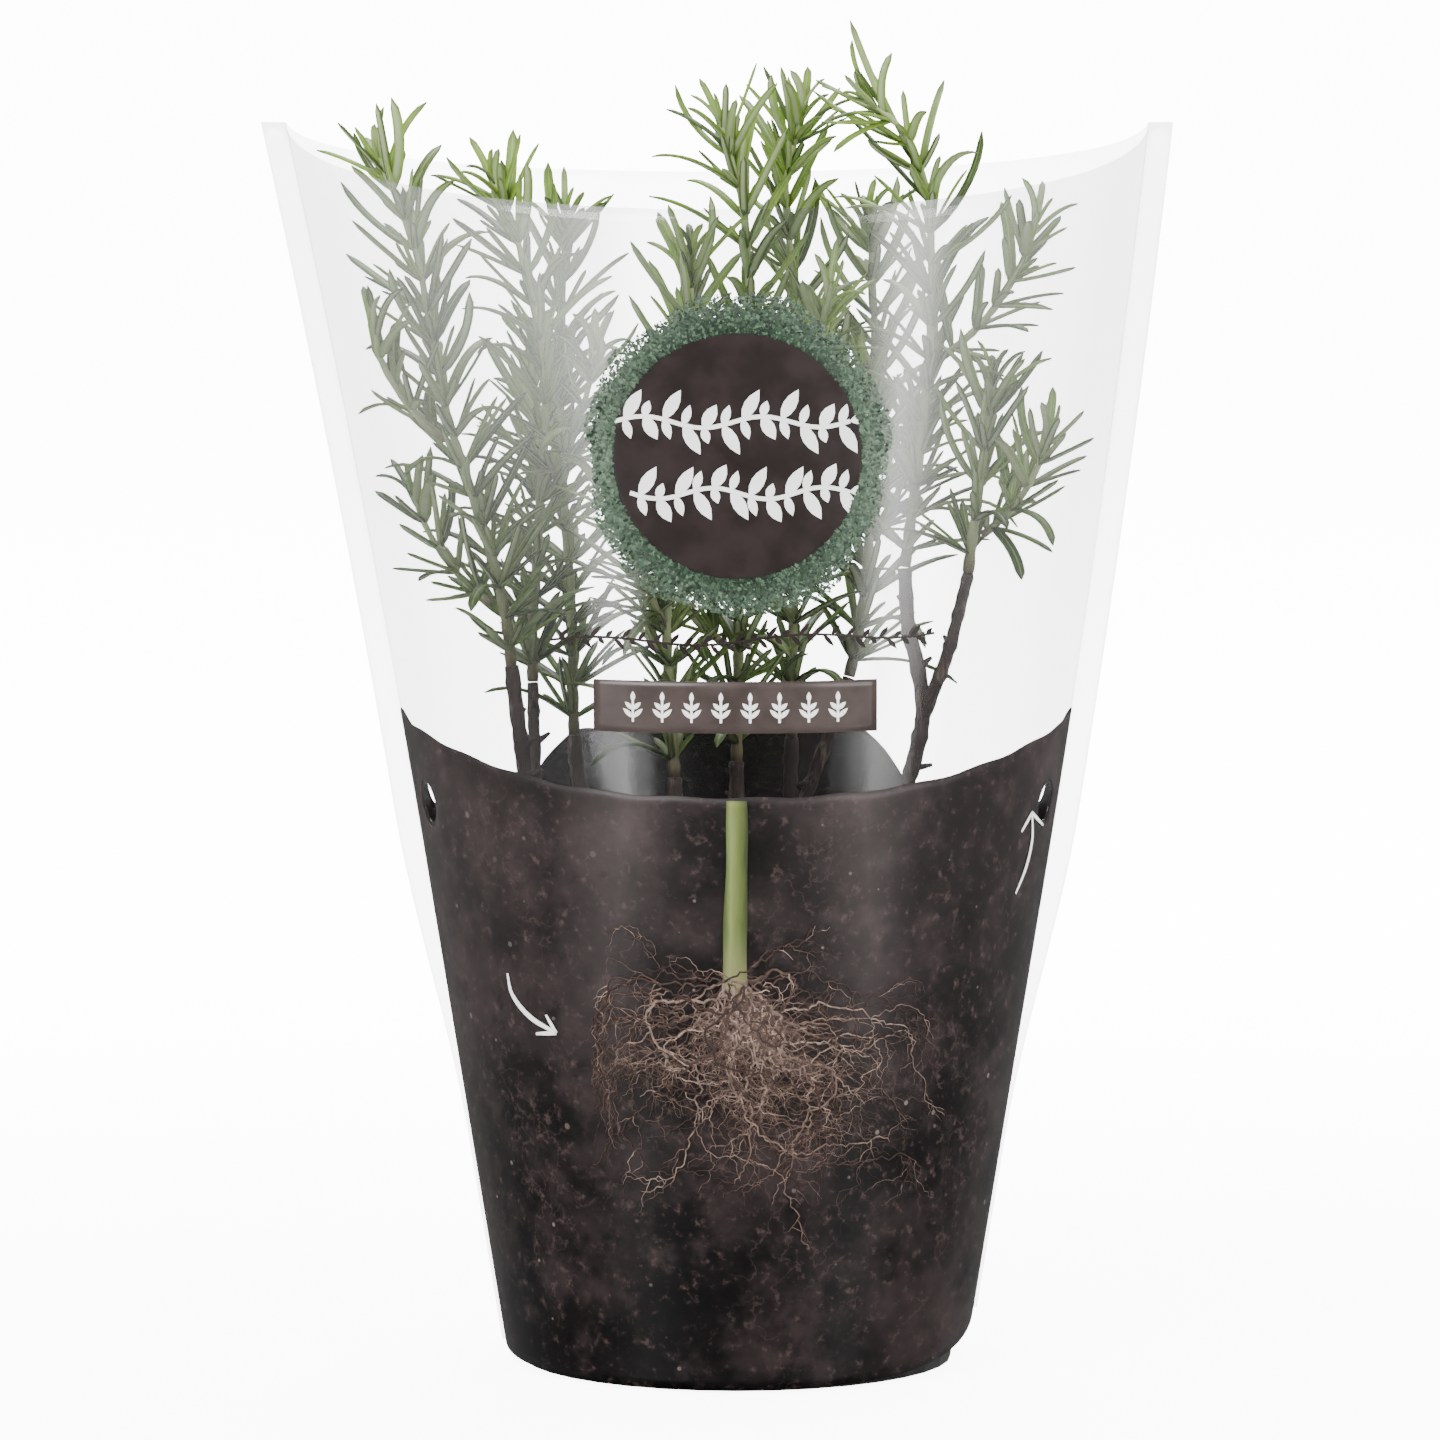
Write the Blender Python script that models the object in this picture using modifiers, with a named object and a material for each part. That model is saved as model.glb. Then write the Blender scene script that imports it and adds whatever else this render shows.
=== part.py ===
"""A potted rosemary: six rooted cuttings in a nursery pot of peat, stood in a clear conical film sleeve.

Metres, +Z up. The origin is on the ground under the middle of the pot, and the front faces -Y.
A route is a list of (across, deep, up) shares: of the sleeve's half-width and half-depth at that
height, and of the height from the peat to the sleeve's top corners. So the plant follows its holder.
"""

import math
import random

import bmesh
import bpy
from mathutils import Matrix, Vector
from mathutils.kdtree import KDTree

# Gap between two pieces that touch.
GAP = 0.0003
# Facets round every turned piece.
ROUND = 36

# Nursery pot.
POT_HEIGHT = 0.098
POT_RIM_RADIUS = 0.058
POT_BASE_RADIUS = 0.043
POT_WALL = 0.0012
RIM_BAND_HEIGHT = 0.012
RIM_BAND_STEP = 0.0015
HUB_RADIUS = 0.019
HUB_SLOPE = 0.003
FOOT_WIDTH = 0.0025
BASE_RISE = 0.004
DRAIN_RADIUS = 0.004
DRAIN_COUNT = 6

# Peat.
PEAT_BELOW_RIM = 0.010
PEAT_CROWN = 0.003

# Film sleeve: two panels, welded along a margin at each side.
FILM = 0.0004
SLACK_AT_BASE = 0.0027
SLACK_AT_RIM = 0.0035
SLEEVE_LIFT = 0.0008
SLEEVE_CORNER_HEIGHT = 0.248
SLEEVE_TOP_DIP = 0.0135
LEFT_FOOT_RISE = 0.0025
RIGHT_FOOT_RISE = 0.009
SLEEVE_FLATTEN = 0.014
SLEEVE_LEAN = -0.004
MARGIN_AT_TOP = 0.005
MARGIN_AT_BASE = 0.001
MARGIN_NARROW_FROM = 0.012
MARGIN_NARROW_OVER = 0.065
PANEL_SPANS = 18
PANEL_ROWS = 9
VENT_RADIUS = 0.0036
VENT_FROM_SEAM = 0.0207
VENT_ABOVE_RIM = 0.016

# Woody stems and leafy shoots.
ROOT_DEPTH = 0.026
WOOD_RADIUS = 0.0019
WOOD_TOP_RADIUS = 0.0015
SHOOT_RADIUS = 0.0012
SHOOT_TIP_RADIUS = 0.0006
SIDE_RADIUS = 0.0008
ROUTE_STEP = 0.009
BUD_LENGTH = 0.004

# Leaves.
LEAF_LENGTH = 0.0245
LEAF_WIDTH = 0.0025
LEAF_THICKNESS = 0.0009
LEAF_SPACING = 0.0062
SIDE_LEAF_LENGTH = 0.0180
SIDE_LEAF_SPACING = 0.0052
LEAF_CLEARANCE = 0.0024
OWN_LEAF_CLEARANCE = 0.0018
LEAF_SAMPLE = 0.0012
LEAF_FREE_SAMPLES = 3
LEAF_SEAT = 0.5
LEAF_NECK = 0.45
FILM_CLEARANCE = 0.0022
PLANT_SEED = 7

# How a leaf stands: its angle from the shoot at the shoot's foot and at its tip, and its own bend.
PITCH_AT_FOOT = math.radians(68.0)
PITCH_AT_TIP = math.radians(40.0)
PITCH_SPREAD = math.radians(9.0)
BEND_AT_FOOT = math.radians(24.0)
BEND_AT_TIP = math.radians(-6.0)
BEND_SPREAD = math.radians(26.0)
BEND_PLACE = 0.55
TURN_SPREAD = 0.25
AXIS_AHEAD = 0.004
TIP_SHORTENING = 0.20
SIZE_RANGE = (0.76, 1.12)
LEAF_TRIES = ((0.0, 1.0), (0.6, 0.9), (-0.6, 0.9), (0.0, 0.6))

# A side shoot's curve: how much of each step goes out, up and along its parent.
SIDE_STEPS = 4
SIDE_OUT_LOSS = 0.14
SIDE_RISE = 0.35
SIDE_RISE_GAIN = 0.16
SIDE_ALONG = 0.2

# Peat crown's profile: (share of the rim's radius, share of the crown's height).
CROWN_PROFILE = ((0.0, 1.0), (0.35, 0.8), (0.7, 0.3))

# A cutting's wood: name, its own route, and the route of each fork.
WOOD = (
    ("woody_stem_1", [(-0.56, -0.13, 0.0), (-0.64, -0.16, 0.12), (-0.65, -0.21, 0.27), (-0.65, -0.22, 0.33)],
     [[(-0.64, -0.16, 0.13), (-0.62, -0.06, 0.20), (-0.60, 0.0, 0.30)]]),
    ("woody_stem_2", [(-0.43, 0.30, 0.0), (-0.50, 0.32, 0.17), (-0.50, 0.31, 0.22)], []),
    ("woody_stem_3", [(-0.17, -0.27, 0.0), (-0.19, -0.22, 0.14), (-0.19, -0.22, 0.19)], []),
    ("woody_stem_4", [(0.03, 0.03, 0.0), (0.0, 0.0, 0.14), (0.0, 0.0, 0.20)], []),
    ("woody_stem_5", [(0.20, 0.36, 0.0), (0.17, 0.28, 0.15), (0.17, 0.25, 0.22)],
     [[(0.18, 0.30, 0.10), (0.27, 0.36, 0.20), (0.34, 0.39, 0.29)]]),
    ("woody_stem_6", [(0.46, 0.0, 0.0), (0.53, 0.0, 0.17), (0.56, 0.0, 0.27), (0.50, 0.05, 0.37),
                      (0.48, 0.08, 0.44)],
     [[(0.555, 0.0, 0.25), (0.62, -0.03, 0.34), (0.65, -0.05, 0.42), (0.655, -0.06, 0.44)]]),
)

# A leafy shoot on the wood: name and route, which starts where its wood ends.
SHOOTS = (
    ("leafy_shoot_1", [(-0.65, -0.22, 0.33), (-0.655, -0.26, 0.44), (-0.73, -0.30, 0.66),
                       (-0.74, -0.29, 0.84), (-0.79, -0.24, 0.96)]),
    ("leafy_shoot_2", [(-0.60, 0.0, 0.30), (-0.585, 0.0, 0.36), (-0.52, -0.04, 0.53), (-0.465, -0.06, 0.70),
                       (-0.50, -0.08, 0.86), (-0.535, -0.08, 0.93)]),
    ("leafy_shoot_3", [(-0.50, 0.31, 0.22), (-0.47, 0.29, 0.40), (-0.455, 0.28, 0.58), (-0.42, 0.28, 0.74),
                       (-0.38, 0.26, 0.875)]),
    ("leafy_shoot_4", [(-0.19, -0.22, 0.19), (-0.19, -0.22, 0.41), (-0.12, -0.21, 0.60),
                       (-0.075, -0.15, 0.84)]),
    ("leafy_shoot_5", [(0.0, 0.0, 0.20), (0.015, -0.03, 0.41), (0.04, -0.05, 0.60), (0.06, -0.07, 0.78),
                       (0.05, -0.08, 0.90), (0.01, -0.11, 1.0)]),
    ("leafy_shoot_6", [(0.17, 0.25, 0.22), (0.17, 0.22, 0.40), (0.19, 0.21, 0.61), (0.175, 0.17, 0.79),
                       (0.155, 0.14, 0.91), (0.20, 0.11, 1.01)]),
    ("leafy_shoot_7", [(0.34, 0.39, 0.29), (0.375, 0.41, 0.39), (0.39, 0.42, 0.61), (0.375, 0.41, 0.77),
                       (0.36, 0.41, 0.87)]),
    ("leafy_shoot_8", [(0.48, 0.08, 0.44), (0.49, 0.09, 0.50), (0.51, 0.08, 0.63), (0.515, 0.06, 0.78),
                       (0.49, 0.0, 0.92), (0.43, -0.06, 0.99), (0.34, -0.10, 1.03)]),
    ("leafy_shoot_9", [(0.655, -0.06, 0.44), (0.66, -0.08, 0.50), (0.67, -0.09, 0.58), (0.68, -0.08, 0.68)]),
)

# A side shoot: name, the shoot that it grows on, how far along it, compass angle from +X, and length.
SIDE_SHOOTS = (
    ("side_shoot_1", "leafy_shoot_1", 0.12, 165.0, 0.028),
    ("side_shoot_2", "leafy_shoot_1", 0.45, 215.0, 0.030),
    ("side_shoot_3", "leafy_shoot_2", 0.40, 300.0, 0.034),
    ("side_shoot_4", "leafy_shoot_3", 0.42, 110.0, 0.036),
    ("side_shoot_5", "leafy_shoot_4", 0.30, 250.0, 0.034),
    ("side_shoot_6", "leafy_shoot_5", 0.18, 190.0, 0.030),
    ("side_shoot_7", "leafy_shoot_5", 0.52, 320.0, 0.034),
    ("side_shoot_8", "leafy_shoot_6", 0.42, 80.0, 0.036),
    ("side_shoot_9", "leafy_shoot_7", 0.30, 60.0, 0.032),
    ("side_shoot_10", "leafy_shoot_8", 0.22, 200.0, 0.028),
    ("side_shoot_11", "leafy_shoot_8", 0.42, 350.0, 0.034),
    ("side_shoot_12", "leafy_shoot_9", 0.20, 330.0, 0.026),
)

BLACK_PLASTIC = ("black_plastic", (0.03, 0.03, 0.03, 1.0), 0.45)
PEAT = ("peat", (0.05, 0.03, 0.02, 1.0), 0.95)
CLEAR_FILM = ("clear_film", (0.85, 0.86, 0.87, 0.3), 0.15)
BARK = ("bark", (0.20, 0.13, 0.09, 1.0), 0.8)
NEEDLE_GREEN = ("needle_green", (0.16, 0.27, 0.07, 1.0), 0.5)


def peat_level():
    """Height of the peat where it meets the pot's wall."""
    return POT_HEIGHT - PEAT_BELOW_RIM


def smooth_step(share):
    """0 to 1, eased at both ends."""
    share = min(1.0, max(0.0, share))
    return share * share * (3.0 - 2.0 * share)


def above_rim(z):
    """Share of the way from the pot's rim to the sleeve's corners, from 0 to 1."""
    return min(1.0, max(0.0, (z - POT_HEIGHT) / (SLEEVE_CORNER_HEIGHT - POT_HEIGHT)))


def sleeve_half_width(z):
    """The film's inside half-width: a straight cone that clears the pot's foot and its rim."""
    foot = POT_BASE_RADIUS + SLACK_AT_BASE
    rim = POT_RIM_RADIUS + SLACK_AT_RIM
    return foot + (rim - foot) * z / POT_HEIGHT


def sleeve_half_depth(z):
    """The film's inside half-depth: round at the pot, and a little flatter at the mouth."""
    return sleeve_half_width(z) - SLEEVE_FLATTEN * above_rim(z) ** 2


def sleeve_shift(z):
    """How far the cone leans to one side at this height."""
    return SLEEVE_LEAN * above_rim(z) ** 2


def route_point(across, deep, up):
    """A point given as shares of the sleeve's width, depth and height above the peat."""
    z = peat_level() + up * (SLEEVE_CORNER_HEIGHT - peat_level())
    return Vector((across * sleeve_half_width(z) + sleeve_shift(z), deep * sleeve_half_depth(z), z))


def smooth_route(points, step=ROUTE_STEP):
    """Points about a step apart on a Catmull-Rom curve through the given ones."""
    ends = [2 * points[0] - points[1], *points, 2 * points[-1] - points[-2]]
    found = []
    for before, start, end, after in zip(ends, ends[1:], ends[2:], ends[3:]):
        pieces = max(1, round((end - start).length / step))
        for i in range(pieces):
            t = i / pieces
            found.append(0.5 * (2 * start + (end - before) * t
                                + (2 * before - 5 * start + 4 * end - after) * t * t
                                + (3 * start - before - 3 * end + after) * t ** 3))
    return [*found, points[-1].copy()]


def route_length(points):
    """Length along a list of points."""
    return sum((b - a).length for a, b in zip(points, points[1:]))


def along(points, distance):
    """The point at a distance along a route, and the direction there."""
    for a, b in zip(points, points[1:]):
        span = (b - a).length
        if distance <= span:
            break
        distance -= span
    direction = (b - a).normalized()
    return a + direction * min(distance, span), direction


def trimmed(points, start):
    """The route without its first stretch."""
    first, _ = along(points, start)
    walked, kept = 0.0, [first]
    for a, b in zip(points, points[1:]):
        walked += (b - a).length
        if walked > start + ROUTE_STEP / 4:
            kept.append(b)
    return kept


def clear_scene():
    """Removes what the startup scene holds."""
    for obj in list(bpy.data.objects):
        bpy.data.objects.remove(obj, do_unlink=True)


def make_collection(name):
    """A new collection in the scene."""
    collection = bpy.data.collections.new(name)
    bpy.context.scene.collection.children.link(collection)
    return collection


def make_material(name, colour, roughness):
    """A Principled material."""
    material = bpy.data.materials.new(name)
    material.use_nodes = True
    shader = material.node_tree.nodes["Principled BSDF"]
    shader.inputs["Base Color"].default_value = (*colour[:3], 1.0)
    shader.inputs["Alpha"].default_value = colour[3]
    shader.inputs["Roughness"].default_value = roughness
    shader.inputs["Metallic"].default_value = 0.0
    return material


def add_mesh_object(name, mesh, collection):
    """An object for a mesh, in a collection."""
    obj = bpy.data.objects.new(name, mesh)
    collection.objects.link(obj)
    return obj


def turned(name, profile, collection):
    """A solid turned about Z from (radius, z) points, listed inside first and then down its outer side."""
    mesh = bpy.data.meshes.new(name)
    edges = [(i, i + 1) for i in range(len(profile) - 1)]
    mesh.from_pydata([(radius, 0.0, z) for radius, z in profile], edges, [])
    obj = add_mesh_object(name, mesh, collection)
    screw = obj.modifiers.new("turn", "SCREW")
    screw.steps = ROUND
    screw.render_steps = ROUND
    screw.use_merge_vertices = True
    screw.merge_threshold = 0.00001
    return obj


def add_cutter(name, radius, low, high, x, y, sides, cutters):
    """An upright round cutter."""
    mesh = bpy.data.meshes.new(name)
    shape = bmesh.new()
    bmesh.ops.create_cone(shape, cap_ends=True, segments=sides, radius1=radius, radius2=radius,
                          depth=high - low)
    shape.to_mesh(mesh)
    shape.free()
    cutter = add_mesh_object(name, mesh, cutters)
    cutter.location = (x, y, (low + high) / 2)
    cutter.hide_render = True
    cutter.display_type = "WIRE"
    return cutter


def cut(obj, cutter):
    """Cuts one piece by a cutter."""
    boolean = obj.modifiers.new(cutter.name, "BOOLEAN")
    boolean.operation = "DIFFERENCE"
    boolean.object = cutter


def shade(obj, material, angle=math.radians(35)):
    """Gives a mesh its material and smooth shading with sharp edges kept."""
    obj.data.materials.append(material)
    obj.data.shade_smooth()
    obj.data.set_sharp_from_angle(angle=angle)


def pot_wall_radius(z):
    """Outside radius of the pot's plain wall, under its rim band."""
    below_band = POT_HEIGHT - RIM_BAND_HEIGHT
    top = POT_RIM_RADIUS - RIM_BAND_STEP
    return POT_BASE_RADIUS + (top - POT_BASE_RADIUS) * z / below_band


def pot_inside_radius(z):
    """Inside radius of the pot: one wall in from the outside, with the step of the rim band inside too."""
    below_band = POT_HEIGHT - RIM_BAND_HEIGHT
    if z <= below_band - POT_WALL:
        return pot_wall_radius(z) - POT_WALL
    return POT_RIM_RADIUS - POT_WALL


def pot_floor(gap):
    """Points along the pot's inside floor, from the axis out and a gap clear of it."""
    return [
        (0.0, POT_WALL + gap),
        (HUB_RADIUS - gap, POT_WALL + gap),
        (HUB_RADIUS + HUB_SLOPE - gap, BASE_RISE + POT_WALL + gap),
        (pot_inside_radius(BASE_RISE + POT_WALL) - gap, BASE_RISE + POT_WALL + gap),
    ]


def make_pot(collection, cutters, material):
    """Thin moulded pot with a rim band, resting on a hub and a foot ring with drain holes between."""
    below_band = POT_HEIGHT - RIM_BAND_HEIGHT
    foot_inside = POT_BASE_RADIUS - FOOT_WIDTH
    profile = [
        *pot_floor(0.0),
        (pot_wall_radius(below_band - POT_WALL) - POT_WALL, below_band - POT_WALL),
        (POT_RIM_RADIUS - POT_WALL, below_band + POT_WALL),
        (POT_RIM_RADIUS - POT_WALL, POT_HEIGHT),
        (POT_RIM_RADIUS, POT_HEIGHT),
        (POT_RIM_RADIUS, below_band),
        (pot_wall_radius(below_band), below_band),
        (pot_wall_radius(0.0), 0.0),
        (foot_inside, 0.0),
        (foot_inside - BASE_RISE / 4, BASE_RISE),
        (HUB_RADIUS + HUB_SLOPE + POT_WALL, BASE_RISE),
        (HUB_RADIUS + POT_WALL, 0.0),
        (0.0, 0.0),
    ]
    pot = turned("pot", profile, collection)
    circle = (HUB_RADIUS + HUB_SLOPE + foot_inside) / 2
    for i in range(DRAIN_COUNT):
        angle = 2 * math.pi * i / DRAIN_COUNT
        hole = add_cutter(f"drain_cutter_{i}", DRAIN_RADIUS, BASE_RISE / 2, BASE_RISE * 1.5 + POT_WALL,
                          circle * math.cos(angle), circle * math.sin(angle), 12, cutters)
        cut(pot, hole)
    shade(pot, material)
    return pot


def make_peat(collection, cutters, material, sockets):
    """The growing medium: it fills the pot to below the rim, with a blind socket for each rooted stem."""
    level = peat_level()
    step = POT_HEIGHT - RIM_BAND_HEIGHT - POT_WALL
    profile = [(share * POT_RIM_RADIUS, level + height * PEAT_CROWN) for share, height in CROWN_PROFILE]
    if level > step:
        profile.append((pot_inside_radius(step) - GAP, level))
    profile += [
        (pot_inside_radius(min(level, step)) - GAP, min(level, step) - GAP),
        *reversed(pot_floor(GAP)),
    ]
    peat = turned("peat", profile, collection)
    for i, (x, y) in enumerate(sockets):
        socket = add_cutter(f"socket_cutter_{i}", WOOD_RADIUS + 2 * GAP, level - ROOT_DEPTH - GAP,
                            level + PEAT_CROWN + 0.004, x, y, 12, cutters)
        cut(peat, socket)
    shade(peat, material)
    return peat


def panel_height(share, side_share):
    """Height on a panel: share up it, and side_share from -1 at the left seam to 1 at the right one."""
    rise = LEFT_FOOT_RISE if side_share < 0 else RIGHT_FOOT_RISE
    foot = SLEEVE_LIFT + rise * abs(side_share) ** 3
    top = SLEEVE_CORNER_HEIGHT - SLEEVE_TOP_DIP * (1.0 - side_share ** 2)
    return foot + share * (top - foot)


def weld_margin(z):
    """Width of the welded margin: narrow where the film is drawn in round the pot."""
    share = smooth_step((z - (POT_HEIGHT + MARGIN_NARROW_FROM - MARGIN_NARROW_OVER)) / MARGIN_NARROW_OVER)
    return MARGIN_AT_BASE + (MARGIN_AT_TOP - MARGIN_AT_BASE) * share


def make_panel(name, facing, collection, cutters, material):
    """One film panel, from weld to weld. facing is -1 for the front and 1 for the back."""
    grid = bmesh.new()
    columns = PANEL_SPANS + 3
    bmesh.ops.create_grid(grid, x_segments=columns - 1, y_segments=PANEL_ROWS, size=0.5)
    for vertex in grid.verts:
        column = round((vertex.co.x + 0.5) * (columns - 1)) - 1
        share = vertex.co.y + 0.5
        side_share = min(1.0, max(-1.0, 2.0 * column / PANEL_SPANS - 1.0))
        z = panel_height(share, side_share)
        angle = side_share * math.pi / 2
        x = sleeve_half_width(z) * math.sin(angle)
        y = facing * (sleeve_half_depth(z) * math.cos(angle) + GAP / 2)
        if column in (-1, PANEL_SPANS + 1):
            x += math.copysign(weld_margin(z), side_share)
        vertex.co = (x + sleeve_shift(z), y, z)
    bmesh.ops.recalc_face_normals(grid, faces=grid.faces)
    mesh = bpy.data.meshes.new(name)
    grid.to_mesh(mesh)
    grid.free()
    middle = mesh.polygons[len(mesh.polygons) // 2]
    if middle.normal.y * facing < 0:
        mesh.flip_normals()
    panel = add_mesh_object(name, mesh, collection)
    solidify = panel.modifiers.new("film", "SOLIDIFY")
    solidify.thickness = FILM
    solidify.offset = 1.0
    solidify.use_even_offset = True
    for side in (-1, 1):
        cut(panel, vent_cutter(f"{name}_vent_cutter_{side}", side, facing, cutters))
    shade(panel, material)
    return panel


def vent_cutter(name, side, facing, cutters):
    """A round cutter square to the film, a set distance in from the seam."""
    z = POT_HEIGHT + VENT_ABOVE_RIM
    width, depth = sleeve_half_width(z), sleeve_half_depth(z)
    angle = math.pi / 2 - VENT_FROM_SEAM / width
    outward = Vector((side * math.sin(angle), facing * math.cos(angle), 0.0))
    cutter = add_cutter(name, VENT_RADIUS, -6 * FILM, 6 * FILM, 0.0, 0.0, 12, cutters)
    cutter.location = (side * width * math.sin(angle) + sleeve_shift(z), facing * depth * math.cos(angle), z)
    cutter.rotation_euler = outward.to_track_quat("Z", "Y").to_euler()
    return cutter


def make_tube(name, points, radii, sides_level, collection, cap=True):
    """A round tapering tube along points, as a curve with filled caps."""
    curve = bpy.data.curves.new(name, "CURVE")
    curve.dimensions = "3D"
    curve.bevel_depth = 1.0
    curve.bevel_resolution = sides_level
    curve.use_fill_caps = cap
    spline = curve.splines.new("POLY")
    spline.points.add(len(points) - 1)
    for spot, point, radius in zip(spline.points, points, radii):
        spot.co = (*point, 1.0)
        spot.radius = radius
    obj = bpy.data.objects.new(name, curve)
    collection.objects.link(obj)
    return obj


def curve_to_mesh(curve_object, collection):
    """Replaces a curve by its welded mesh, under the same name."""
    name = curve_object.name
    bpy.context.view_layer.update()
    graph = bpy.context.evaluated_depsgraph_get()
    mesh = bpy.data.meshes.new_from_object(curve_object.evaluated_get(graph))
    matrix = curve_object.matrix_world.copy()
    bpy.data.objects.remove(curve_object, do_unlink=True)
    welded = bmesh.new()
    welded.from_mesh(mesh)
    bmesh.ops.remove_doubles(welded, verts=welded.verts, dist=0.000002)
    bmesh.ops.recalc_face_normals(welded, faces=welded.faces)
    welded.to_mesh(mesh)
    welded.free()
    mesh.name = name
    obj = add_mesh_object(name, mesh, collection)
    obj.matrix_world = matrix
    return obj


def join(obj, other):
    """Joins a second mesh to a piece, and keeps the second one as a hidden helper."""
    union = obj.modifiers.new(other.name, "BOOLEAN")
    union.operation = "UNION"
    union.solver = "MANIFOLD"
    union.object = other
    other.hide_render = True
    other.display_type = "WIRE"


def tapered(points, start_radius, end_radius):
    """Radii that go evenly from the first point's to the last one's."""
    total, walked, radii = route_length(points), 0.0, [start_radius]
    for a, b in zip(points, points[1:]):
        walked += (b - a).length
        radii.append(start_radius + (end_radius - start_radius) * walked / total)
    return radii


def search_tree(spots):
    """A tree that finds the nearest of these points."""
    tree = KDTree(len(spots))
    for i, spot in enumerate(spots):
        tree.insert(spot, i)
    tree.balance()
    return tree


def crowded(spot, tree, clearance):
    """Whether the nearest point of a tree is closer than the clearance."""
    nearest = tree.find(spot)[2]
    return nearest is not None and nearest < clearance


def samples(points):
    """Points every LEAF_SAMPLE or so along a route."""
    found = []
    for a, b in zip(points, points[1:]):
        pieces = max(1, round((b - a).length / LEAF_SAMPLE))
        found += [a.lerp(b, i / pieces) for i in range(pieces)]
    return [*found, points[-1]]


class Thicket:
    """Keeps the wood, shoots and leaves of different nodes from growing through each other."""

    def __init__(self):
        self.spots = []

    def add(self, owner, points):
        """Remembers a run of points as taken by a node."""
        self.spots += [(owner, spot) for spot in samples(points)]

    def others(self, owner):
        """A search tree of what other nodes have taken."""
        return search_tree([spot for name, spot in self.spots if name != owner])


def share_of_sleeve(point):
    """How far out a point is: 0 in the middle and 1 as close to the film as a leaf may come."""
    across = (point.x - sleeve_shift(point.z)) / (sleeve_half_width(point.z) - FILM_CLEARANCE)
    deep = point.y / (sleeve_half_depth(point.z) - FILM_CLEARANCE)
    return math.hypot(across, deep)


def inside_sleeve(point):
    """Whether a point clears the film, where the film reaches that high."""
    return point.z > SLEEVE_CORNER_HEIGHT or share_of_sleeve(point) < 1.0


def drawn_in(point):
    """The point itself, or the nearest one towards the middle that clears the film."""
    share = max(1.0, share_of_sleeve(point))
    shift = sleeve_shift(point.z)
    return Vector((shift + (point.x - shift) / share, point.y / share, point.z))


def leaf_fits(points, others, own):
    """Whether a leaf clears the film, what other nodes have taken, and its own shoot's other leaves."""
    for i, spot in enumerate(samples(points)[1:]):
        if not inside_sleeve(spot) or spot.z < peat_level() + PEAT_CROWN + LEAF_WIDTH:
            return False
        if crowded(spot, others, LEAF_CLEARANCE):
            return False
        if i >= LEAF_FREE_SAMPLES and crowded(spot, own, OWN_LEAF_CLEARANCE):
            return False
    return True


def leaf_route(root, axis, angle, pitch, bend, length, radius):
    """A leaf's midrib: from inside the shoot's bark, out and then bent towards or away from the axis."""
    side = axis.orthogonal().normalized()
    side = Matrix.Rotation(angle, 3, axis) @ side
    hinge = axis.cross(side)
    first = Matrix.Rotation(pitch, 3, hinge) @ axis
    second = Matrix.Rotation(bend, 3, hinge) @ first
    begin = root + first * LEAF_SEAT * radius / math.sin(pitch)
    middle = begin + first * length * BEND_PLACE
    return [begin, middle, middle + second * length * (1.0 - BEND_PLACE)]


def leaves_along(owner, points, radii, length, spacing, thicket, dice):
    """Leaves in crossed pairs up a shoot: long and spreading low down, short and upright at its tip.

    Returns one list for each half of the pairs.
    """
    total = route_length(points)
    others = thicket.others(owner)
    count = max(2, int((total - BUD_LENGTH) / spacing))
    halves, taken = ([], []), []
    for i in range(count):
        share = (i + 0.5) / count
        root, _ = along(points, share * (total - BUD_LENGTH))
        ahead, _ = along(points, share * (total - BUD_LENGTH) + AXIS_AHEAD)
        axis = (ahead - root).normalized()
        radius = radii[0] + (radii[1] - radii[0]) * share
        for half, found in enumerate(halves):
            size = length * (1.0 - TIP_SHORTENING * share ** 4) * dice.uniform(*SIZE_RANGE)
            pitch = PITCH_AT_FOOT + (PITCH_AT_TIP - PITCH_AT_FOOT) * share
            pitch += dice.uniform(-PITCH_SPREAD, PITCH_SPREAD)
            bend = BEND_AT_FOOT + (BEND_AT_TIP - BEND_AT_FOOT) * share
            bend += dice.uniform(-BEND_SPREAD, BEND_SPREAD)
            angle = i * math.pi / 2 + half * math.pi + dice.uniform(-TURN_SPREAD, TURN_SPREAD)
            for turn, shorten in LEAF_TRIES:
                leaf = leaf_route(root, axis, angle + turn, pitch, bend, size * shorten, radius)
                if leaf_fits(leaf, others, search_tree(taken)):
                    found.append((leaf, 2 * LEAF_NECK * radius))
                    taken += samples(leaf)[LEAF_FREE_SAMPLES:]
                    break
    for leaf, _ in (*halves[0], *halves[1]):
        thicket.add(owner, leaf)
    return halves


def leaf_section(cutters):
    """The flat-topped, keeled section that every leaf is drawn with."""
    curve = bpy.data.curves.new("leaf_section", "CURVE")
    curve.dimensions = "2D"
    spline = curve.splines.new("POLY")
    spline.points.add(2)
    flank = LEAF_THICKNESS / 3
    spots = ((-LEAF_WIDTH / 2, flank), (0.0, -2 * flank), (LEAF_WIDTH / 2, flank))
    for spot, (x, y) in zip(spline.points, spots):
        spot.co = (x, y, 0.0, 1.0)
    spline.use_cyclic_u = True
    section = bpy.data.objects.new("leaf_section", curve)
    cutters.objects.link(section)
    section.hide_render = True
    return section


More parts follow.
